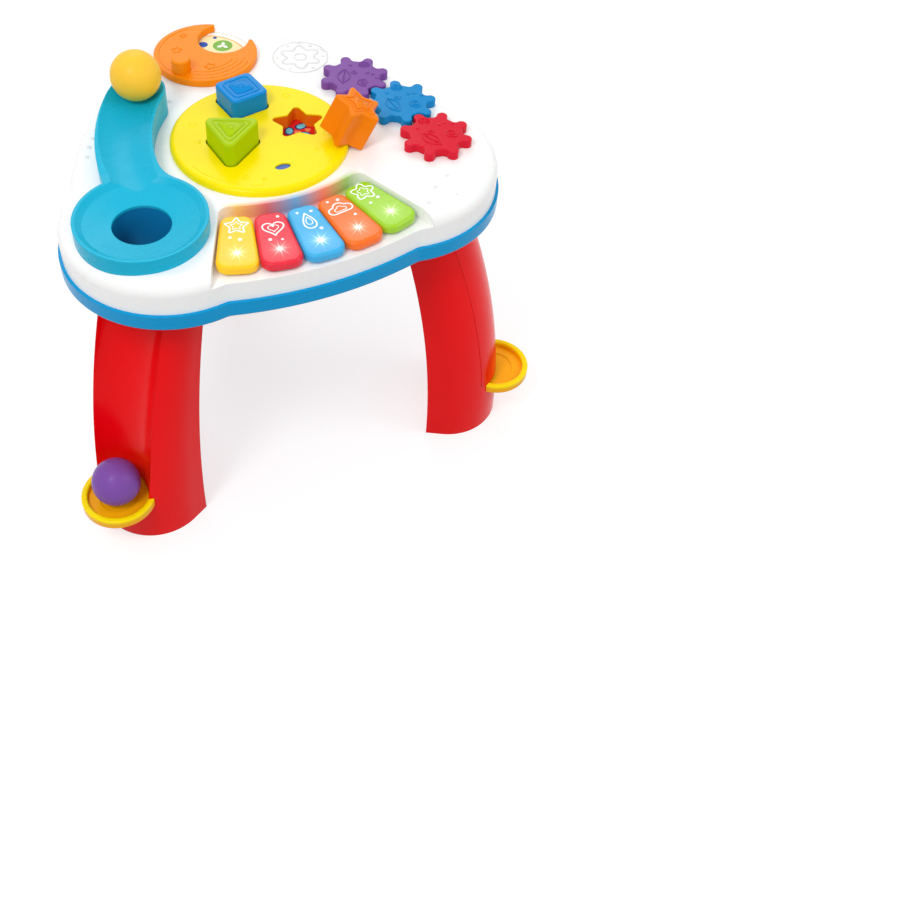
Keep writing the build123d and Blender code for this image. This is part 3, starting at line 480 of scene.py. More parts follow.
def zinc_plate(name, colour):
    """Zinc-plated steel: grey-blue metal with fine turning marks."""
    material, tree, shader, coords = start_material(name)
    marks = noise(tree, coords, 0.4, 2.0)
    tint = blend_colour(tree, marks, shade(colour, 0.85), shade(colour, 1.1))
    bump = add(tree, "ShaderNodeBump", None, Height=marks, Strength=0.3, Distance=0.02 * MM)
    drive(tree, shader, Base_Color=tint, Normal=bump.outputs[0])
    fix(shader, Metallic=1.0, Roughness=0.32)
    return material


def solder_mask(name, colour):
    """Fibreglass board under green lacquer: thin paler lines where copper runs below."""
    material, tree, shader, coords = start_material(name)
    runs = add(
        tree,
        "ShaderNodeTexBrick",
        {"offset": 0.37},
        Vector=coords,
        Color1=shade(colour, 0.85),
        Color2=shade(colour, 1.0),
        Mortar=shade(colour, 1.9),
        Scale=1 / (6 * MM),
    )
    drive(tree, shader, Base_Color=runs.outputs[0])
    fix(shader, Roughness=0.3)
    return material


def cell_label(name, colour):
    """Shrunk film on a cell: a dark band at one end of a coloured sleeve."""
    material, tree, shader, coords = start_material(name)
    along = add(tree, "ShaderNodeSeparateXYZ", None, i0=coords).outputs[0]
    band = maths(tree, "GREATER_THAN", along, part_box("batteries")[0].x + 12 * MM)
    drive(tree, shader, Base_Color=blend_colour(tree, band, linear("#22242A"), colour))
    fix(shader, Roughness=0.25)
    return material


# a key's painted light: rays as (count, turn, sharpness), then reaches as shares of the glow's
# radius
RAYS = ((4, 0.5, 14), (7, 1.3, 9), (5, 2.2, 16))
RAY_REACH, CORE_REACH, HALO_REACH = 0.9, 0.55, 2.4
CORE_LIGHT, HALO_LIGHT, LEAST_LIGHT = 0.85, 0.22, 0.06


def lit_polystyrene(name, colour, lamp, glow, strength):
    """Tinted clear polystyrene over a frosted light guide.

    A saturated colour with a wet gloss, and a star of light painted above the lamp, glowing
    and fading into the moulding.
    """
    material, tree, shader, coords = start_material(name)
    depth = noise(tree, coords, 16, 2.0)
    tint = blend_colour(tree, depth, shade(colour, 0.9), shade(colour, 1.12))
    axes = axes_from(tree, coords, lamp)
    radius = level_distance(tree, axes)
    angle = maths(tree, "ARCTAN2", axes[1], axes[0])
    rays = None
    for count, turn, sharp in RAYS:
        phase = maths(tree, "ADD", maths(tree, "MULTIPLY", angle, count), turn)
        wave = maths(tree, "ABSOLUTE", maths(tree, "COSINE", phase))
        ray = maths(tree, "POWER", wave, sharp)
        rays = ray if rays is None else maths(tree, "ADD", rays, ray)
    spread = maths(tree, "MULTIPLY", rays, glow * RAY_REACH * MM)
    fall = maths(tree, "DIVIDE", radius, maths(tree, "ADD", spread, glow * CORE_REACH * MM))
    core = maths(tree, "EXPONENT", maths(tree, "MULTIPLY", maths(tree, "POWER", fall, 1.6), -1.0))
    halo_reach = glow * HALO_REACH * MM
    halo = maths(tree, "EXPONENT", maths(tree, "MULTIPLY", radius, -1 / halo_reach))
    core_light = maths(tree, "MULTIPLY", core, CORE_LIGHT)
    light = maths(tree, "ADD", core_light, maths(tree, "MULTIPLY", halo, HALO_LIGHT))
    # painted light: the key's colour whitened where its glow is, and the same colour made to glow
    lit = blend_colour(tree, maths(tree, "MULTIPLY", light, 1.0, True), tint, linear("#FFFDF0"))
    power = maths(tree, "ADD", maths(tree, "MULTIPLY", light, strength), LEAST_LIGHT)
    round_edge = add(tree, "ShaderNodeBevel", {"samples": 6}, Radius=1.2 * MM).outputs[0]
    drive(
        tree, shader, Base_Color=lit, Emission_Color=lit, Emission_Strength=power, Normal=round_edge
    )
    fix(shader, Roughness=0.12, IOR=1.59, Specular_IOR_Level=0.15, Coat_Weight=0.25)
    fix(shader, Coat_Roughness=0.05, Subsurface_Weight=0.15, Subsurface_Scale=0.004)
    return material


def painted_key_light_shell(name, colour, stops, fan, wall, share):
    """The white shell's ABS, with the keys' light painted on the wall behind them."""
    material = moulded(name, colour, roughness=0.24, edge=1.0, soft=0.1)
    tree, shader, coords, base = opened(material)
    axes = axes_from(tree, coords, fan)
    off = maths(tree, "SUBTRACT", level_distance(tree, axes), wall * MM)
    off = maths(tree, "ABSOLUTE", off)
    near = map_range(tree, off, (SPILL_REACH * MM, 0.0), (0.0, share), smooth=True)
    turn = maths(tree, "ARCTAN2", axes[0], maths(tree, "MULTIPLY", axes[1], -1.0))
    half = stops[-1][0]
    ramp = add(
        tree, "ShaderNodeValToRGB", None, i0=map_range(tree, turn, (-half, half), (0.0, 1.0))
    )
    elements = ramp.color_ramp.elements
    while len(elements) < len(stops):
        elements.new(0.5)
    for element, (at, tone) in zip(elements, stops):
        element.position = (at + half) / (2 * half)
        element.color = tone
    inside = maths(tree, "LESS_THAN", maths(tree, "ABSOLUTE", turn), half * 1.04)
    # painted light: the keys' colours blended into the shell's colour along the wall
    mask = maths(tree, "MULTIPLY", near, inside)
    drive(tree, shader, Base_Color=blend_colour(tree, mask, base, ramp.outputs[0]))
    return material


# ---- settings ------------------------------------------------------------------------------
def tone(name, code, description):
    return FloatVectorProperty(
        name=name, description=description, subtype="COLOR", size=4, default=linear(code)
    )


def amount(name, default, description):
    return FloatProperty(name=name, description=description, default=default, min=0.0, max=500.0)


class TableColours(bpy.types.PropertyGroup):
    """Colours of the table's own mouldings."""

    shell: tone("Shell", "#F7F7F6", "White upper casing")
    rim: tone("Rim", "#0096D0", "Blue tray whose rim shows below the shell")
    legs: tone("Legs", "#F20008", "Legs and their back covers")
    cups: tone("Cups", "#FFE000", "Dishes at the foot of the legs")
    ramp: tone("Ramp", "#14AFD0", "Ball ramp and its funnel")
    tube: tone("Tube", "#0B6FA3", "Tube below the funnel")
    plate: tone("Sorter plate", "#FAE200", "Round plate with the shape openings")
    well: tone("Star well", "#EE7A0A", "Wall of the star opening")
    tub: tone("Tub", "#DA2A22", "Tub under the sorter plate")
    button: tone("Sorter button", "#0F50AC", "Leaf-shaped button")
    moon: tone("Moon disc", "#F68A04", "Turning disc with a window")
    inside: tone("Inner parts", "#45484C", "Parts that are hidden in the tray")


class ToyColours(bpy.types.PropertyGroup):
    """Colours of the loose and turning toys."""

    square: tone("Square block", "#0587D2", "Block for the square opening")
    triangle: tone("Triangle block", "#A8C800", "Block for the triangle opening")
    star: tone("Star block", "#F08008", "Block for the star opening")
    ball_yellow: tone("Yellow ball", "#FCC63C", "Ball on the ramp")
    ball_purple: tone("Purple ball", "#7E4FA6", "Ball in the cup")
    gear_purple: tone("Purple gear", "#7C4A9A", "Rear play gear")
    gear_blue: tone("Blue gear", "#0A86C6", "Middle play gear")
    gear_red: tone("Red gear", "#D61630", "Front play gear")
    key_yellow: tone("Yellow key", "#FFC400", "First key")
    key_red: tone("Red key", "#DE1232", "Second key")
    key_blue: tone("Blue key", "#2FA6DC", "Third key")
    key_orange: tone("Orange key", "#FF6A00", "Fourth key")
    key_green: tone("Green key", "#98CC1E", "Fifth key")


class ReliefSizes(bpy.types.PropertyGroup):
    """Sizes of the raised lines and prints, in mm."""

    line: amount("Line width", 1.5, "Width of a raised line, in mm")
    rise: amount("Line height", 0.6, "Height of a raised line, in mm")
    print_line: amount("Print width", 1.5, "Width of a printed line, in mm")
    film: amount("Ink height", 0.12, "Height of printed ink, in mm")
    glow: amount("Key glow", 2.7, "Radius of the light in a key, in mm")
    medallion: amount("Medallion", 29.0, "Radius of the raised medallion on the shell, in mm")


class StudioSettings(bpy.types.PropertyGroup):
    """Camera and lamps."""

    lens: amount("Lens", 46.76, "Focal length on a 36 mm wide sensor, in mm")
    key: amount("Key lamp", 11.0, "Power of the main lamp, in watts")
    fill: amount("Fill lamp", 4.5, "Power of the fill lamp, in watts")
    sky: FloatProperty(name="Sky", description="Strength of the world's light", default=0.76)


def settings(name):
    return getattr(bpy.context.scene, name)


class PieceOperator(bpy.types.Operator):
    """Base of the operators: runs make() and reports the end."""

    bl_options = {"REGISTER", "UNDO"}

    def execute(self, context):
        self.make()
        return {"FINISHED"}


def dress(node, material):
    """Give a CAD node its finish."""
    mesh = NODES[node].data
    mesh.materials.clear()
    mesh.materials.append(material)


# ---- the mouldings ---------------------------------------------------------------------------
class TABLE_OT_casings(PieceOperator):
    """Finish the shell, tray, legs, cups, ramp and sorter."""

    bl_idname = "table.casings"
    bl_label = "Casings"

    def make(self):
        tones = settings("table_colours")
        toys = settings("toy_colours")
        dress("top_shell", painted_key_light_shell("shell_abs", tuple(tones.shell), *painted_key_light_stops(toys)))
        dress("base_tray", moulded("rim_abs", tones.rim, roughness=0.22, edge=0.8))
        legs = moulded("leg_abs", tones.legs, roughness=0.2, edge=1.8)
        cups = moulded("cup_abs", tones.cups, roughness=0.24, edge=0.8, soft=0.1)
        rim_top = top_of("ball_cup_left")
        # painted shade: the cups are a deeper orange inside, below their rims
        painted_shade_below(cups, "#FDB208", (rim_top - 6, rim_top - 1))
        for leg in LEGS:
            dress(f"leg_{leg}", legs)
            dress(f"leg_cover_{leg}", legs)
            dress(f"ball_cup_{leg}", cups)
        dress("ball_ramp", moulded("ramp_abs", tones.ramp, roughness=0.26, edge=1.0, soft=0.08))
        dress("ball_drop_tube", moulded("tube_abs", tones.tube, roughness=0.35))
        plate = moulded("plate_abs", tones.plate, roughness=0.24, edge=0.7, soft=0.1)
        plate_top = top_of("sorter_plate")
        # painted shade: navy on the walls of the openings, just below the plate's face, where the
        # gaps round the blocks lie in shadow
        painted_shade_below(plate, "#152560", (plate_top - 3, plate_top - 1.2), 79)
        dress("sorter_plate", plate)
        dress("star_well", moulded("well_abs", tones.well, roughness=0.25))
        dress("sorter_tub", moulded("tub_abs", tones.tub, roughness=0.3))
        dress("sorter_button", moulded("button_abs", tones.button, roughness=0.12, coat=0.4))


FAN_Y = 79.0  # middle of the key fan, on the +Y side
KEY_PITCH = 9.4  # degrees from one key to the next
LAMP_AT = 235.0  # lamp's glow from the middle of the fan
TROUGH_WALL = 175.0  # wall behind the keys, from the middle of the fan
# the keys' light on the wall behind them is painted into the shell's colour
SPILL_HALF = 2.6 * KEY_PITCH  # half of the fan that the keys' light reaches, in degrees
SPILL_REACH = 9.0  # distance from the wall at which the spilled light ends
SPILL_SHARE = 0.8
GLOW = {"yellow": 0.8, "red": 0.6, "blue": 1.3, "orange": 0.8, "green": 0.7}
MOTIF_AT = {"yellow": 198.0, "red": 206.0, "blue": 206.0, "orange": 205.0, "green": 197.0}


def key_turn(name):
    """Direction in which a key points away from the middle of the fan, in degrees."""
    index = KEYS.index(name)
    return (index - (len(KEYS) - 1) / 2) * KEY_PITCH


def fan_point(radius, turn):
    """Point of the key fan in mm."""
    a = radians(270 + turn)
    return radius * cos(a), FAN_Y + radius * sin(a)


def painted_key_light_stops(toys):
    """Stops of the keys' painted light across the wall behind them, the fan's middle, its radius
    and the share.
    """
    white = linear("#FFFFFF")
    stops = [(radians(-SPILL_HALF), white)]
    stops += [(radians(key_turn(k)), tuple(getattr(toys, f"key_{k}"))) for k in KEYS]
    stops.append((radians(SPILL_HALF), white))
    return stops, (0.0, FAN_Y * MM), TROUGH_WALL, SPILL_SHARE


class TABLE_OT_toys(PieceOperator):
    """Finish the blocks, balls, gears and the moon disc."""

    bl_idname = "table.toys"
    bl_label = "Toys"

    def make(self):
        toys = settings("toy_colours")
        tones = settings("table_colours")
        for shape in ("square", "triangle", "star"):
            abs_ = moulded(f"{shape}_abs", getattr(toys, shape), roughness=0.22, edge=0.8)
            dress(f"{shape}_block", abs_)
            dress(f"{shape}_block_cap", abs_)
        for ball in ("ball_yellow", "ball_purple"):
            dress(ball, moulded(f"{ball}_pe", getattr(toys, ball), roughness=0.3, soft=0.15))
        washer = matt("washer_pp", tones.inside)
        for gear in GEARS:
            dress(f"gear_{gear}", moulded(f"gear_{gear}_abs", getattr(toys, f"gear_{gear}")))
            dress(f"gear_washer_{gear}", washer)
        dress("moon_disc", moulded("moon_abs", tones.moon, roughness=0.26, edge=1.0, soft=0.1))
        dress("moon_washer", washer)


class TABLE_OT_electrics(PieceOperator):
    """Finish the parts inside the tray and on its underside."""

    bl_idname = "table.electrics"
    bl_label = "Electrics"

    def make(self):
        tones = settings("table_colours")
        board = solder_mask("board_lacquer", linear("#125F38"))
        black = matt("black_pp", linear("#1C1C1E"))
        zinc = zinc_plate("zinc_screws", linear("#B4B8BC"))
        finishes = {
            "key_board": board,
            "main_board": board,
            "board_chips": black,
            "speaker": black,
            "power_switch": black,
            "battery_box": matt("box_pp", tones.inside),
            "battery_door": moulded("door_abs", tones.rim, roughness=0.3),
            "key_domes": matt("dome_silicone", linear("#83868A"), roughness=0.5),
            "key_lights": moulded("lamp_epoxy", linear("#EDEFF2"), roughness=0.1, coat=0.5),
            "batteries": cell_label("cell_film", linear("#C79A3C")),
            "battery_contacts": zinc_plate("contact_nickel", linear("#C9CBCE")),
            "tray_screws": zinc,
            "board_screws": zinc,
            "battery_door_screw": zinc,
        }
        for node, material in finishes.items():
            dress(node, material)


# ---- keys ----------------------------------------------------------------------------------
def key_motif(name, x, y, turn):
    """Outline printed on a key, and its bubbles as (along, across, radius) from the motif."""
    motifs = {
        "yellow": (rounded(star(12.0, 6.2, x, y, turn + 90), 1.6), [(16, -6, 1.6), (19, 3, 2.0)]),
        "red": (heart(20.0, x, y, turn), [(-15, 7, 1.6), (15, -6, 1.8), (17, 5, 1.3)]),
        "blue": (drop(22.0, x, y, turn + 90), [(-14, -6, 1.5), (14, 7, 1.9), (-12, 7, 1.7)]),
        "orange": (cloud(25.0, x, y, turn), [(-13, 5, 1.8), (-15, -5, 1.4), (13, 8, 1.6)]),
        "green": (petals(9.6, 5, 0.22, x=x, y=y, turn=turn), [(15, 5, 1.9), (17, -6, 1.5)]),
    }
    return motifs[name]


class TABLE_OT_keys(PieceOperator):
    """Light the keys and print a motif and bubbles on each."""

    bl_idname = "table.keys"
    bl_label = "Keys"

    def make(self):
        toys = settings("toy_colours")
        sizes = settings("relief_sizes")
        white = ink("key_ink", linear("#FFFFFF"))
        for key in KEYS:
            turn = key_turn(key)
            x, y = fan_point(LAMP_AT, turn)
            colour = tuple(getattr(toys, f"key_{key}"))
            material = lit_polystyrene(
                f"key_{key}_ps", colour, (x * MM, y * MM), sizes.glow, GLOW[key]
            )
            dress(f"key_{key}", material)
            build = bmesh.new()
            px, py = fan_point(MOTIF_AT[key], turn)
            place = level(0, 0, top_of(f"key_{key}"))
            outline, bubbles = key_motif(key, px, py, turn)
            add_ridge(build, outline, True, sizes.print_line, sizes.film, place, sunk=PRINT_SUNK)
            inner = [(px + (qx - px) * 0.5, py + (qy - py) * 0.5) for qx, qy in outline]
            fine = sizes.print_line * 0.6
            add_ridge(build, inner, True, fine, sizes.film, place, sunk=PRINT_SUNK)
            for along, across, radius in bubbles:
                bx, by = fan_point(MOTIF_AT[key] + along, turn)
                bx, by = bx + across * cos(radians(turn)), by + across * sin(radians(turn))
                add_pad(build, ring(radius, bx, by, 16), sizes.film, place, sunk=PRINT_SUNK)
            finish_mesh(f"key_print_{key}", build, white, f"key_{key}")


# ---- raised and printed motifs ---------------------------------------------------------------
MEDALLION_AT = (91.0, 121.0)
PLUS_MARKS = ((128.0, -132.0), (112.0, -150.0), (-62.0, 96.0), (66.0, 60.0))
DOT_MARKS = (
    (146.0, -120.0, 2.0),
    (142.0, -148.0, 1.6),
    (-163.0, 38.0, 2.2),
    (-157.0, 52.0, 2.6),
    (-150.5, 65.0, 2.2),
    (-144.0, 77.0, 1.7),
)


class TABLE_OT_shell_relief(PieceOperator):
    """Raise a flower medallion and small marks on the shell."""

    bl_idname = "table.shell_relief"
    bl_label = "Shell relief"

    def make(self):
        sizes = settings("relief_sizes")
        build = bmesh.new()
        place = level(*MEDALLION_AT, top_of("top_shell"), 12)
        radius = sizes.medallion
        add_ridge(build, ring(radius, steps=64), True, 2.0, sizes.rise * 1.3, place)
        add_ridge(build, petals(radius * 0.62, 6, 0.2), True, 2.8, sizes.rise * 2.0, place)
        add_ridge(build, ring(radius * 0.22), True, 2.0, sizes.rise * 1.8, place)
        for i in range(6):
            spot = polar(radius * 0.84, radians(60 * i + 30))
            add_pad(build, ring(1.8, *spot, 16), sizes.rise, place)
        tree = tree_of("top_shell")
        for x, y in PLUS_MARKS:
            at = on_surface(tree, x, y)
            for turn in (20, 110):
                line = [(-2.6 * cos(radians(turn)), -2.6 * sin(radians(turn)))]
                line.append((-line[0][0], -line[0][1]))
                add_ridge(build, line, False, 1.1, 0.35, at)
        for x, y, size in DOT_MARKS:
            add_bead(build, size, size * 0.28, on_surface(tree, x, y))
        soft_grey = moulded("shell_relief_abs", linear("#E4E4E4"), roughness=0.3, edge=0.3)
        finish_mesh("shell_relief", build, soft_grey, "table")


PLAIN_LEGS = (("right", 330), ("rear", 90))  # with each leg's direction in degrees
SEAM_SIDE = 38.0  # each line's distance from the leg's middle
SEAM_FOOT, SEAM_HEAD = 66.0, 298.0
SEAM_STEPS = 24
SEAM_FROM = 400.0  # distance outside the leg from which its wall is looked for


class TABLE_OT_leg_seams(PieceOperator):
    """Raise two fine lines down the round front of each leg that has no ball track."""

    bl_idname = "table.leg_seams"
    bl_label = "Leg seams"

    def make(self):
        material = NODES["leg_right"].data.materials[0]
        for leg, turn in PLAIN_LEGS:
            tree = tree_of(f"leg_{leg}")
            out = Vector((*polar(1, radians(turn)), 0))
            across = Vector((-out.y, out.x, 0))
            build = bmesh.new()
            for side in (-SEAM_SIDE, SEAM_SIDE):
                spots = []
                for i in range(SEAM_STEPS + 1):
                    z = SEAM_FOOT + (SEAM_HEAD - SEAM_FOOT) * i / SEAM_STEPS
                    start = (out * SEAM_FROM + across * side + Vector((0, 0, z))) * MM
                    hit, normal, _, _ = tree.ray_cast(start, -out)
                    spots.append((hit, normal))
                add_seam(build, spots, 1.6, 0.7)
            finish_mesh(f"leg_seam_{leg}", build, material, "table")


class TABLE_OT_plate_relief(PieceOperator):
    """Raise soft arcs, pads and rings on the sorter plate."""

    bl_idname = "table.plate_relief"
    bl_label = "Plate relief"

    def make(self):
        sizes = settings("relief_sizes")
        build = bmesh.new()
        place = level(0, 0, top_of("sorter_plate"))
        radius = (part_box("sorter_plate")[1].x / MM) - 9
        for first, last in ((196, 236), (244, 252), (305, 350)):
            add_ridge(build, arc(radius, first, last, steps=32), False, 1.6, 0.3, place)
        for x, y, size in ((-35, -58, 3.2), (-20, -66, 2.2), (42, -42, 2.4), (-60, 12, 3.0)):
            add_pad(build, ring(size, x, y, 20), sizes.rise * 0.6, place)
        for x, y in ((-56, 40), (48, 52), (62, -22)):
            add_ridge(build, ring(3.4, x, y, 24), True, 1.1, 0.4, place)
        material = NODES["sorter_plate"].data.materials[0]
        finish_mesh("plate_relief", build, material, "table")


MOON_AT = (-2.4, 157.3)
MOON_TOP = 362.5  # level of the moon disc's flat face
MOON_ARCS = ((49, 95, 315), (43, 200, 322), (37.5, 232, 318), (32, 256, 312))


class TABLE_OT_moon_relief(PieceOperator):
    """Raise long swirls and small stars on the moon disc."""

    bl_idname = "table.moon_relief"
    bl_label = "Moon relief"

    def make(self):
        sizes = settings("relief_sizes")
        build = bmesh.new()
        place = level(*MOON_AT, MOON_TOP)
        for radius, first, last in MOON_ARCS:
            add_ridge(build, arc(radius, first, last, steps=48), False, sizes.line, 0.5, place)
        for x, y, size, turn in ((-27, 14, 6.0, 70), (-4, -28, 6.5, 96), (-12, 38, 4.2, 85)):
            outline = rounded(star(size, size * 0.5, x, y, turn), 0.8)
            add_ridge(build, outline, True, 1.1, sizes.rise, place)
        material = NODES["moon_disc"].data.materials[0]
        finish_mesh("moon_relief", build, material, "moon")


# printed spots of the picture disc, as distances from its middle
BADGE_AT, SPOT_AT, DOT_AT = 29.0, 26.0, 40.0


class TABLE_OT_picture(PieceOperator):
    """Print the disc that shows through the moon's window."""

    bl_idname = "table.picture"
    bl_label = "Picture"

    def make(self):
        film = settings("relief_sizes").film
        dress("picture_disc", ink("picture_card", linear("#F6E7B4"), roughness=0.3))
        low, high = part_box("picture_disc")
        radius = (high.x - low.x) / 2 / MM
        place = level(*MOON_AT, top_of("picture_disc"))
        inks = {
            "white": linear("#FDFDF8"),
            "green": linear("#7DB64A"),
            "blue": linear("#1B4FB4"),
            "orange": linear("#F08A2C"),
        }
        builds = {name: bmesh.new() for name in inks}
        edge = radius - 3.0
        for colour, inset, width in (("white", 0.0, 5.4), ("orange", 4.0, 0.9)):
            rim = ring(edge - inset, steps=96)
            add_ridge(builds[colour], rim, True, width, film, place, sunk=PRINT_SUNK)
        for i in range(4):
            turn = 33 + 90 * i
            a = radians(turn)
            x, y = polar(BADGE_AT, a)
            colour = ("green", "orange")[i % 2]
            add_pad(builds[colour], ring(10.5, x, y, 40), film, place, sunk=PRINT_SUNK)
            for petal in range(3):
                spray = moved(leaf(7.5, 4.2, 3.4), x, y, turn + 120 * petal + 30)
                add_pad(builds["white"], spray, film * 2.2, place, sunk=PRINT_SUNK, slope=0.1)
            spot = ring(5.2, *polar(SPOT_AT, a + radians(45)), 28)
            add_pad(builds["blue"], spot, film, place, sunk=PRINT_SUNK)
            dot = ring(2.2, *polar(DOT_AT, a + radians(24)), 20)
            add_pad(builds["blue"], dot, film, place, sunk=PRINT_SUNK)
        for name, build in builds.items():
            material = ink(f"picture_{name}_ink", inks[name])
            finish_mesh(f"picture_{name}", build, material, "table")


GEAR_TOP = 363.8  # level of the gears' flat faces
GEAR_MOTIF_TURN = {"purple": -18.5, "blue": 16.0, "red": 35.3}  # keeps clear of the finger dimple


class TABLE_OT_gear_relief(PieceOperator):
    """Raise a leaf, curls and dots on each gear."""

    bl_idname = "table.gear_relief"
    bl_label = "Gear relief"

    def make(self):
        for gear in GEARS:
            node = f"gear_{gear}"
            middle = gear_middle(gear)
            turn = GEAR_MOTIF_TURN[gear]
            place = level(middle.x, middle.y, GEAR_TOP, turn)
            build = bmesh.new()
            add_ridge(build, leaf(25, 13, -11, -1, 80), True, 1.7, 1.0, place)
            add_ridge(build, moved([(-8, 0), (8, 0)], -11, -1, 80), False, 1.3, 0.9, place)
            add_ridge(build, spiral(6.8, 1.7, 8, -13, 40), False, 1.5, 1.0, place)
            add_ridge(build, spiral(4.0, 1.4, 0, 6, 200), False, 1.2, 0.7, place)
            for x, y in ((19, 1), (23, -6), (14, 4), (-3, 19)):
                add_pad(build, ring(1.9, x, y, 16), 0.7, place)
            material = NODES[node].data.materials[0]
            finish_mesh(f"gear_relief_{gear}", build, material, node)


def gear_middle(gear):
    joint = next(j for j in frame["joints"] if j["name"] == f"gear_{gear}_turn")
    return Vector(joint["pos_m"]) / MM


class TABLE_OT_block_relief(PieceOperator):
    """Raise a rib, a panel and a ring on the top of each block."""

    bl_idname = "table.block_relief"
    bl_label = "Block relief"

    def make(self):
        square = [(-14, -14), (14, -14), (14, 14), (-14, 14)]
        triangle = [polar(23, radians(a)) for a in (0, 120, 240)]
        panels = {
            "square": moved(rounded(square, 5), 0, 0, 45),
            "triangle": rounded(triangle, 6),
            "star": rounded(star(17.5, 9.6, turn=0), 2.2),
        }
        for shape, outline in panels.items():
            node = f"{shape}_block"
            place = flat_top(node)
            build = bmesh.new()
            add_ridge(build, outline, True, 2.2, 1.1, place)
            inner = [(x * 0.72, y * 0.72) for x, y in outline]
            add_pad(build, inner, 0.8, place)
            add_ridge(build, ring(3.2), True, 1.3, 1.5, place)
            material = NODES[node].data.materials[0]
            finish_mesh(f"{shape}_relief", build, material, node)


TUB_FLOOR = 346.6  # level of the tub's floor


class TABLE_OT_tub_print(PieceOperator):
    """Print pebbles on the floor of the tub, where the star opening shows it."""

    bl_idname = "table.tub_print"
    bl_label = "Tub print"

    def make(self):
        film = settings("relief_sizes").film
        place = level(0, 0, TUB_FLOOR)
        inks = {"cyan": "#6FD3E6", "navy": "#1D2F7C", "peach": "#F58A5C"}
        builds = {name: bmesh.new() for name in inks}
        for x, y, turn in ((38, -4, 15), (48, 3, -25), (36, 14, 60), (50, 17, 10)):
            pebble = moved(petals(4.2, 2, 0.18, steps=28), x, y, turn)
            rim = [(x + (px - x) * 1.35, y + (py - y) * 1.35) for px, py in pebble]
            add_pad(builds["navy"], rim, film, place, sunk=PRINT_SUNK)
            add_pad(builds["cyan"], pebble, film * 2, place, sunk=PRINT_SUNK)
        for x, y in ((30, 2), (43, 9), (54, 9), (42, -10)):
            shell = petals(3.0, 3, 0.2, 24, x=x, y=y)
            add_pad(builds["peach"], shell, film, place, sunk=PRINT_SUNK)
        for name, code in inks.items():
            material = ink(f"tub_{name}_ink", linear(code))
            finish_mesh(f"tub_{name}", builds[name], material, "table")


# ---- studio ----------------------------------------------------------------------------------
CAMERA_AT = (-0.3073, -0.9164, 1.0725)
CAMERA_HEADING = -26.094  # degrees from +Y, clockwise is minus
CAMERA_PITCH = 47.47  # degrees down
CAMERA_ROLL = 2.305
CAMERA_SHIFT = (80 / 920, -90 / 920)
SENSOR_WIDTH = 36.0
FLOOR_R = 6.0
FLOOR_DROP = 0.0002  # keeps the floor just below the feet
PAPER_LIFT = 0.6  # light of its own that brings the paper to white
LAMPS_AIM = (0, 0, 0.3)


def area_lamp(name, at, size, power):
    lamp = bpy.data.lights.new(name, "AREA")
    lamp.shape = "DISK"
    lamp.size = size
    lamp.energy = power
    obj = bpy.data.objects.new(name, lamp)
    obj.location = at
    obj.rotation_euler = (Vector(LAMPS_AIM) - Vector(at)).to_track_quat("-Z", "Y").to_euler()
    bpy.context.scene.collection.objects.link(obj)


def backdrop_white():
    """Matt studio paper: it takes the table's shadow and otherwise shows as plain white."""
    material, tree, shader, coords = start_material("studio_paper")
    grain = noise(tree, coords, 4, 2.0)
    tint = blend_colour(tree, grain, linear("#B6B6B6"), linear("#BABABA"))
    path = add(tree, "ShaderNodeLightPath").outputs
    seen = maths(tree, "MAXIMUM", path["Is Camera Ray"], path["Is Glossy Ray"])
    lift = maths(tree, "MULTIPLY", seen, PAPER_LIFT)
    drive(tree, shader, Base_Color=tint, Emission_Strength=lift)
    fix(shader, Roughness=0.9, Specular_IOR_Level=0.0, Emission_Color=(1, 1, 1, 1))
    return material


def lay_floor():
    build = bmesh.new()
    bmesh.ops.create_circle(build, cap_ends=True, segments=64, radius=FLOOR_R)
    mesh = bpy.data.meshes.new("floor")
    build.to_mesh(mesh)
    build.free()
    mesh.materials.append(backdrop_white())
    floor = bpy.data.objects.new("floor", mesh)
    floor.location.z = -FLOOR_DROP
    bpy.context.scene.collection.objects.link(floor)


def light_sky(strength):
    """An even sky that is white where it is seen and dimmer where it lights the table."""
    world = bpy.data.worlds.new("sky")
    bpy.context.scene.world = world
    world.use_nodes = True
    tree = world.node_tree
    background = tree.nodes["Background"]
    path = add(tree, "ShaderNodeLightPath").outputs
    seen = path["Is Camera Ray"]
    for ray in ("Is Glossy Ray", "Is Transmission Ray"):
        seen = maths(tree, "MAXIMUM", seen, path[ray])
    extra = maths(tree, "MULTIPLY", seen, 1.0 - strength)
    drive(tree, background, Strength=maths(tree, "ADD", extra, strength))
    fix(background, Color=(1, 1, 1, 1))


def place_camera(lens):
    scene = bpy.context.scene
    camera = bpy.data.cameras.new("camera")
    camera.sensor_width = SENSOR_WIDTH
    camera.lens = lens
    camera.shift_x, camera.shift_y = CAMERA_SHIFT
    camera.clip_end = 20.0
    eye = bpy.data.objects.new("camera", camera)
    turn = Matrix.Rotation(radians(CAMERA_HEADING), 4, "Z")
    tilt = Matrix.Rotation(radians(90 - CAMERA_PITCH), 4, "X")
    roll = Matrix.Rotation(radians(CAMERA_ROLL), 4, "Z")
    eye.matrix_world = Matrix.Translation(CAMERA_AT) @ turn @ tilt @ roll
    scene.collection.objects.link(eye)
    scene.camera = eye
    scene.view_settings.view_transform = "Standard"


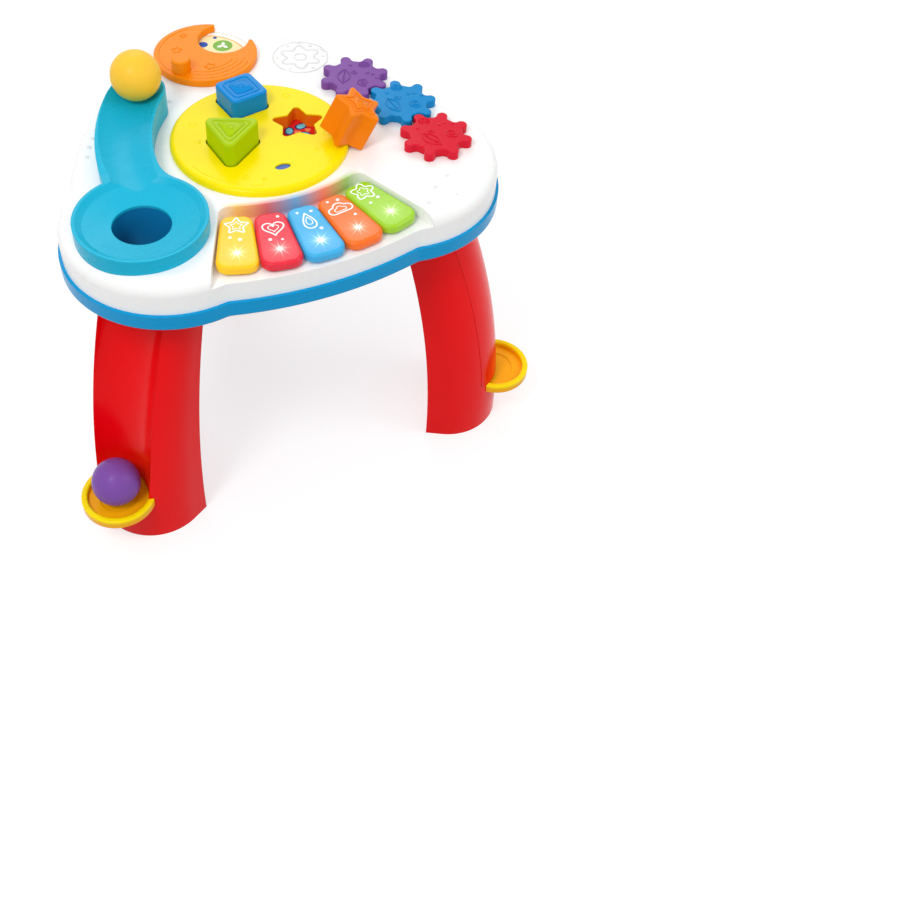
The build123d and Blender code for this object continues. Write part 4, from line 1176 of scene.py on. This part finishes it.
class TABLE_OT_studio(PieceOperator):
    """Set the floor, the lamps, the sky and the camera."""

    bl_idname = "table.studio"
    bl_label = "Studio"

    def make(self):
        studio = settings("studio")
        lay_floor()
        area_lamp("key_lamp", (-0.9, -0.7, 1.7), 0.55, studio.key)
        area_lamp("fill_lamp", (1.3, -0.9, 1.1), 0.8, studio.fill)
        area_lamp("back_lamp", (0.3, 1.3, 1.5), 1.0, studio.fill)
        light_sky(studio.sky)
        place_camera(studio.lens)


# ---- panel and registration --------------------------------------------------------------------
OPERATORS = (
    TABLE_OT_casings,
    TABLE_OT_toys,
    TABLE_OT_electrics,
    TABLE_OT_keys,
    TABLE_OT_shell_relief,
    TABLE_OT_leg_seams,
    TABLE_OT_plate_relief,
    TABLE_OT_moon_relief,
    TABLE_OT_picture,
    TABLE_OT_gear_relief,
    TABLE_OT_block_relief,
    TABLE_OT_tub_print,
    TABLE_OT_studio,
)
GROUPS = {
    "table_colours": TableColours,
    "toy_colours": ToyColours,
    "relief_sizes": ReliefSizes,
    "studio": StudioSettings,
}


class TABLE_PT_panel(bpy.types.Panel):
    """Sidebar panel with every piece's operator and the settings."""

    bl_label = "Activity Table"
    bl_idname = "TABLE_PT_panel"
    bl_space_type = "VIEW_3D"
    bl_region_type = "UI"
    bl_category = "Activity Table"

    def draw(self, context):
        for operator in OPERATORS:
            self.layout.operator(operator.bl_idname)
        for name, group in GROUPS.items():
            box = self.layout.box()
            box.label(text=group.__doc__)
            for prop in group.__annotations__:
                box.prop(getattr(context.scene, name), prop)


CLASSES = (*GROUPS.values(), *OPERATORS, TABLE_PT_panel)


def register():
    for cls in CLASSES:
        bpy.utils.register_class(cls)
    for name, group in GROUPS.items():
        setattr(bpy.types.Scene, name, PointerProperty(type=group))


def unregister():
    for name in GROUPS:
        delattr(bpy.types.Scene, name)
    for cls in reversed(CLASSES):
        bpy.utils.unregister_class(cls)


def main():
    register()
    for operator in OPERATORS:
        group, name = operator.bl_idname.split(".")
        getattr(getattr(bpy.ops, group), name)()


if __name__ == "__main__":
    main()
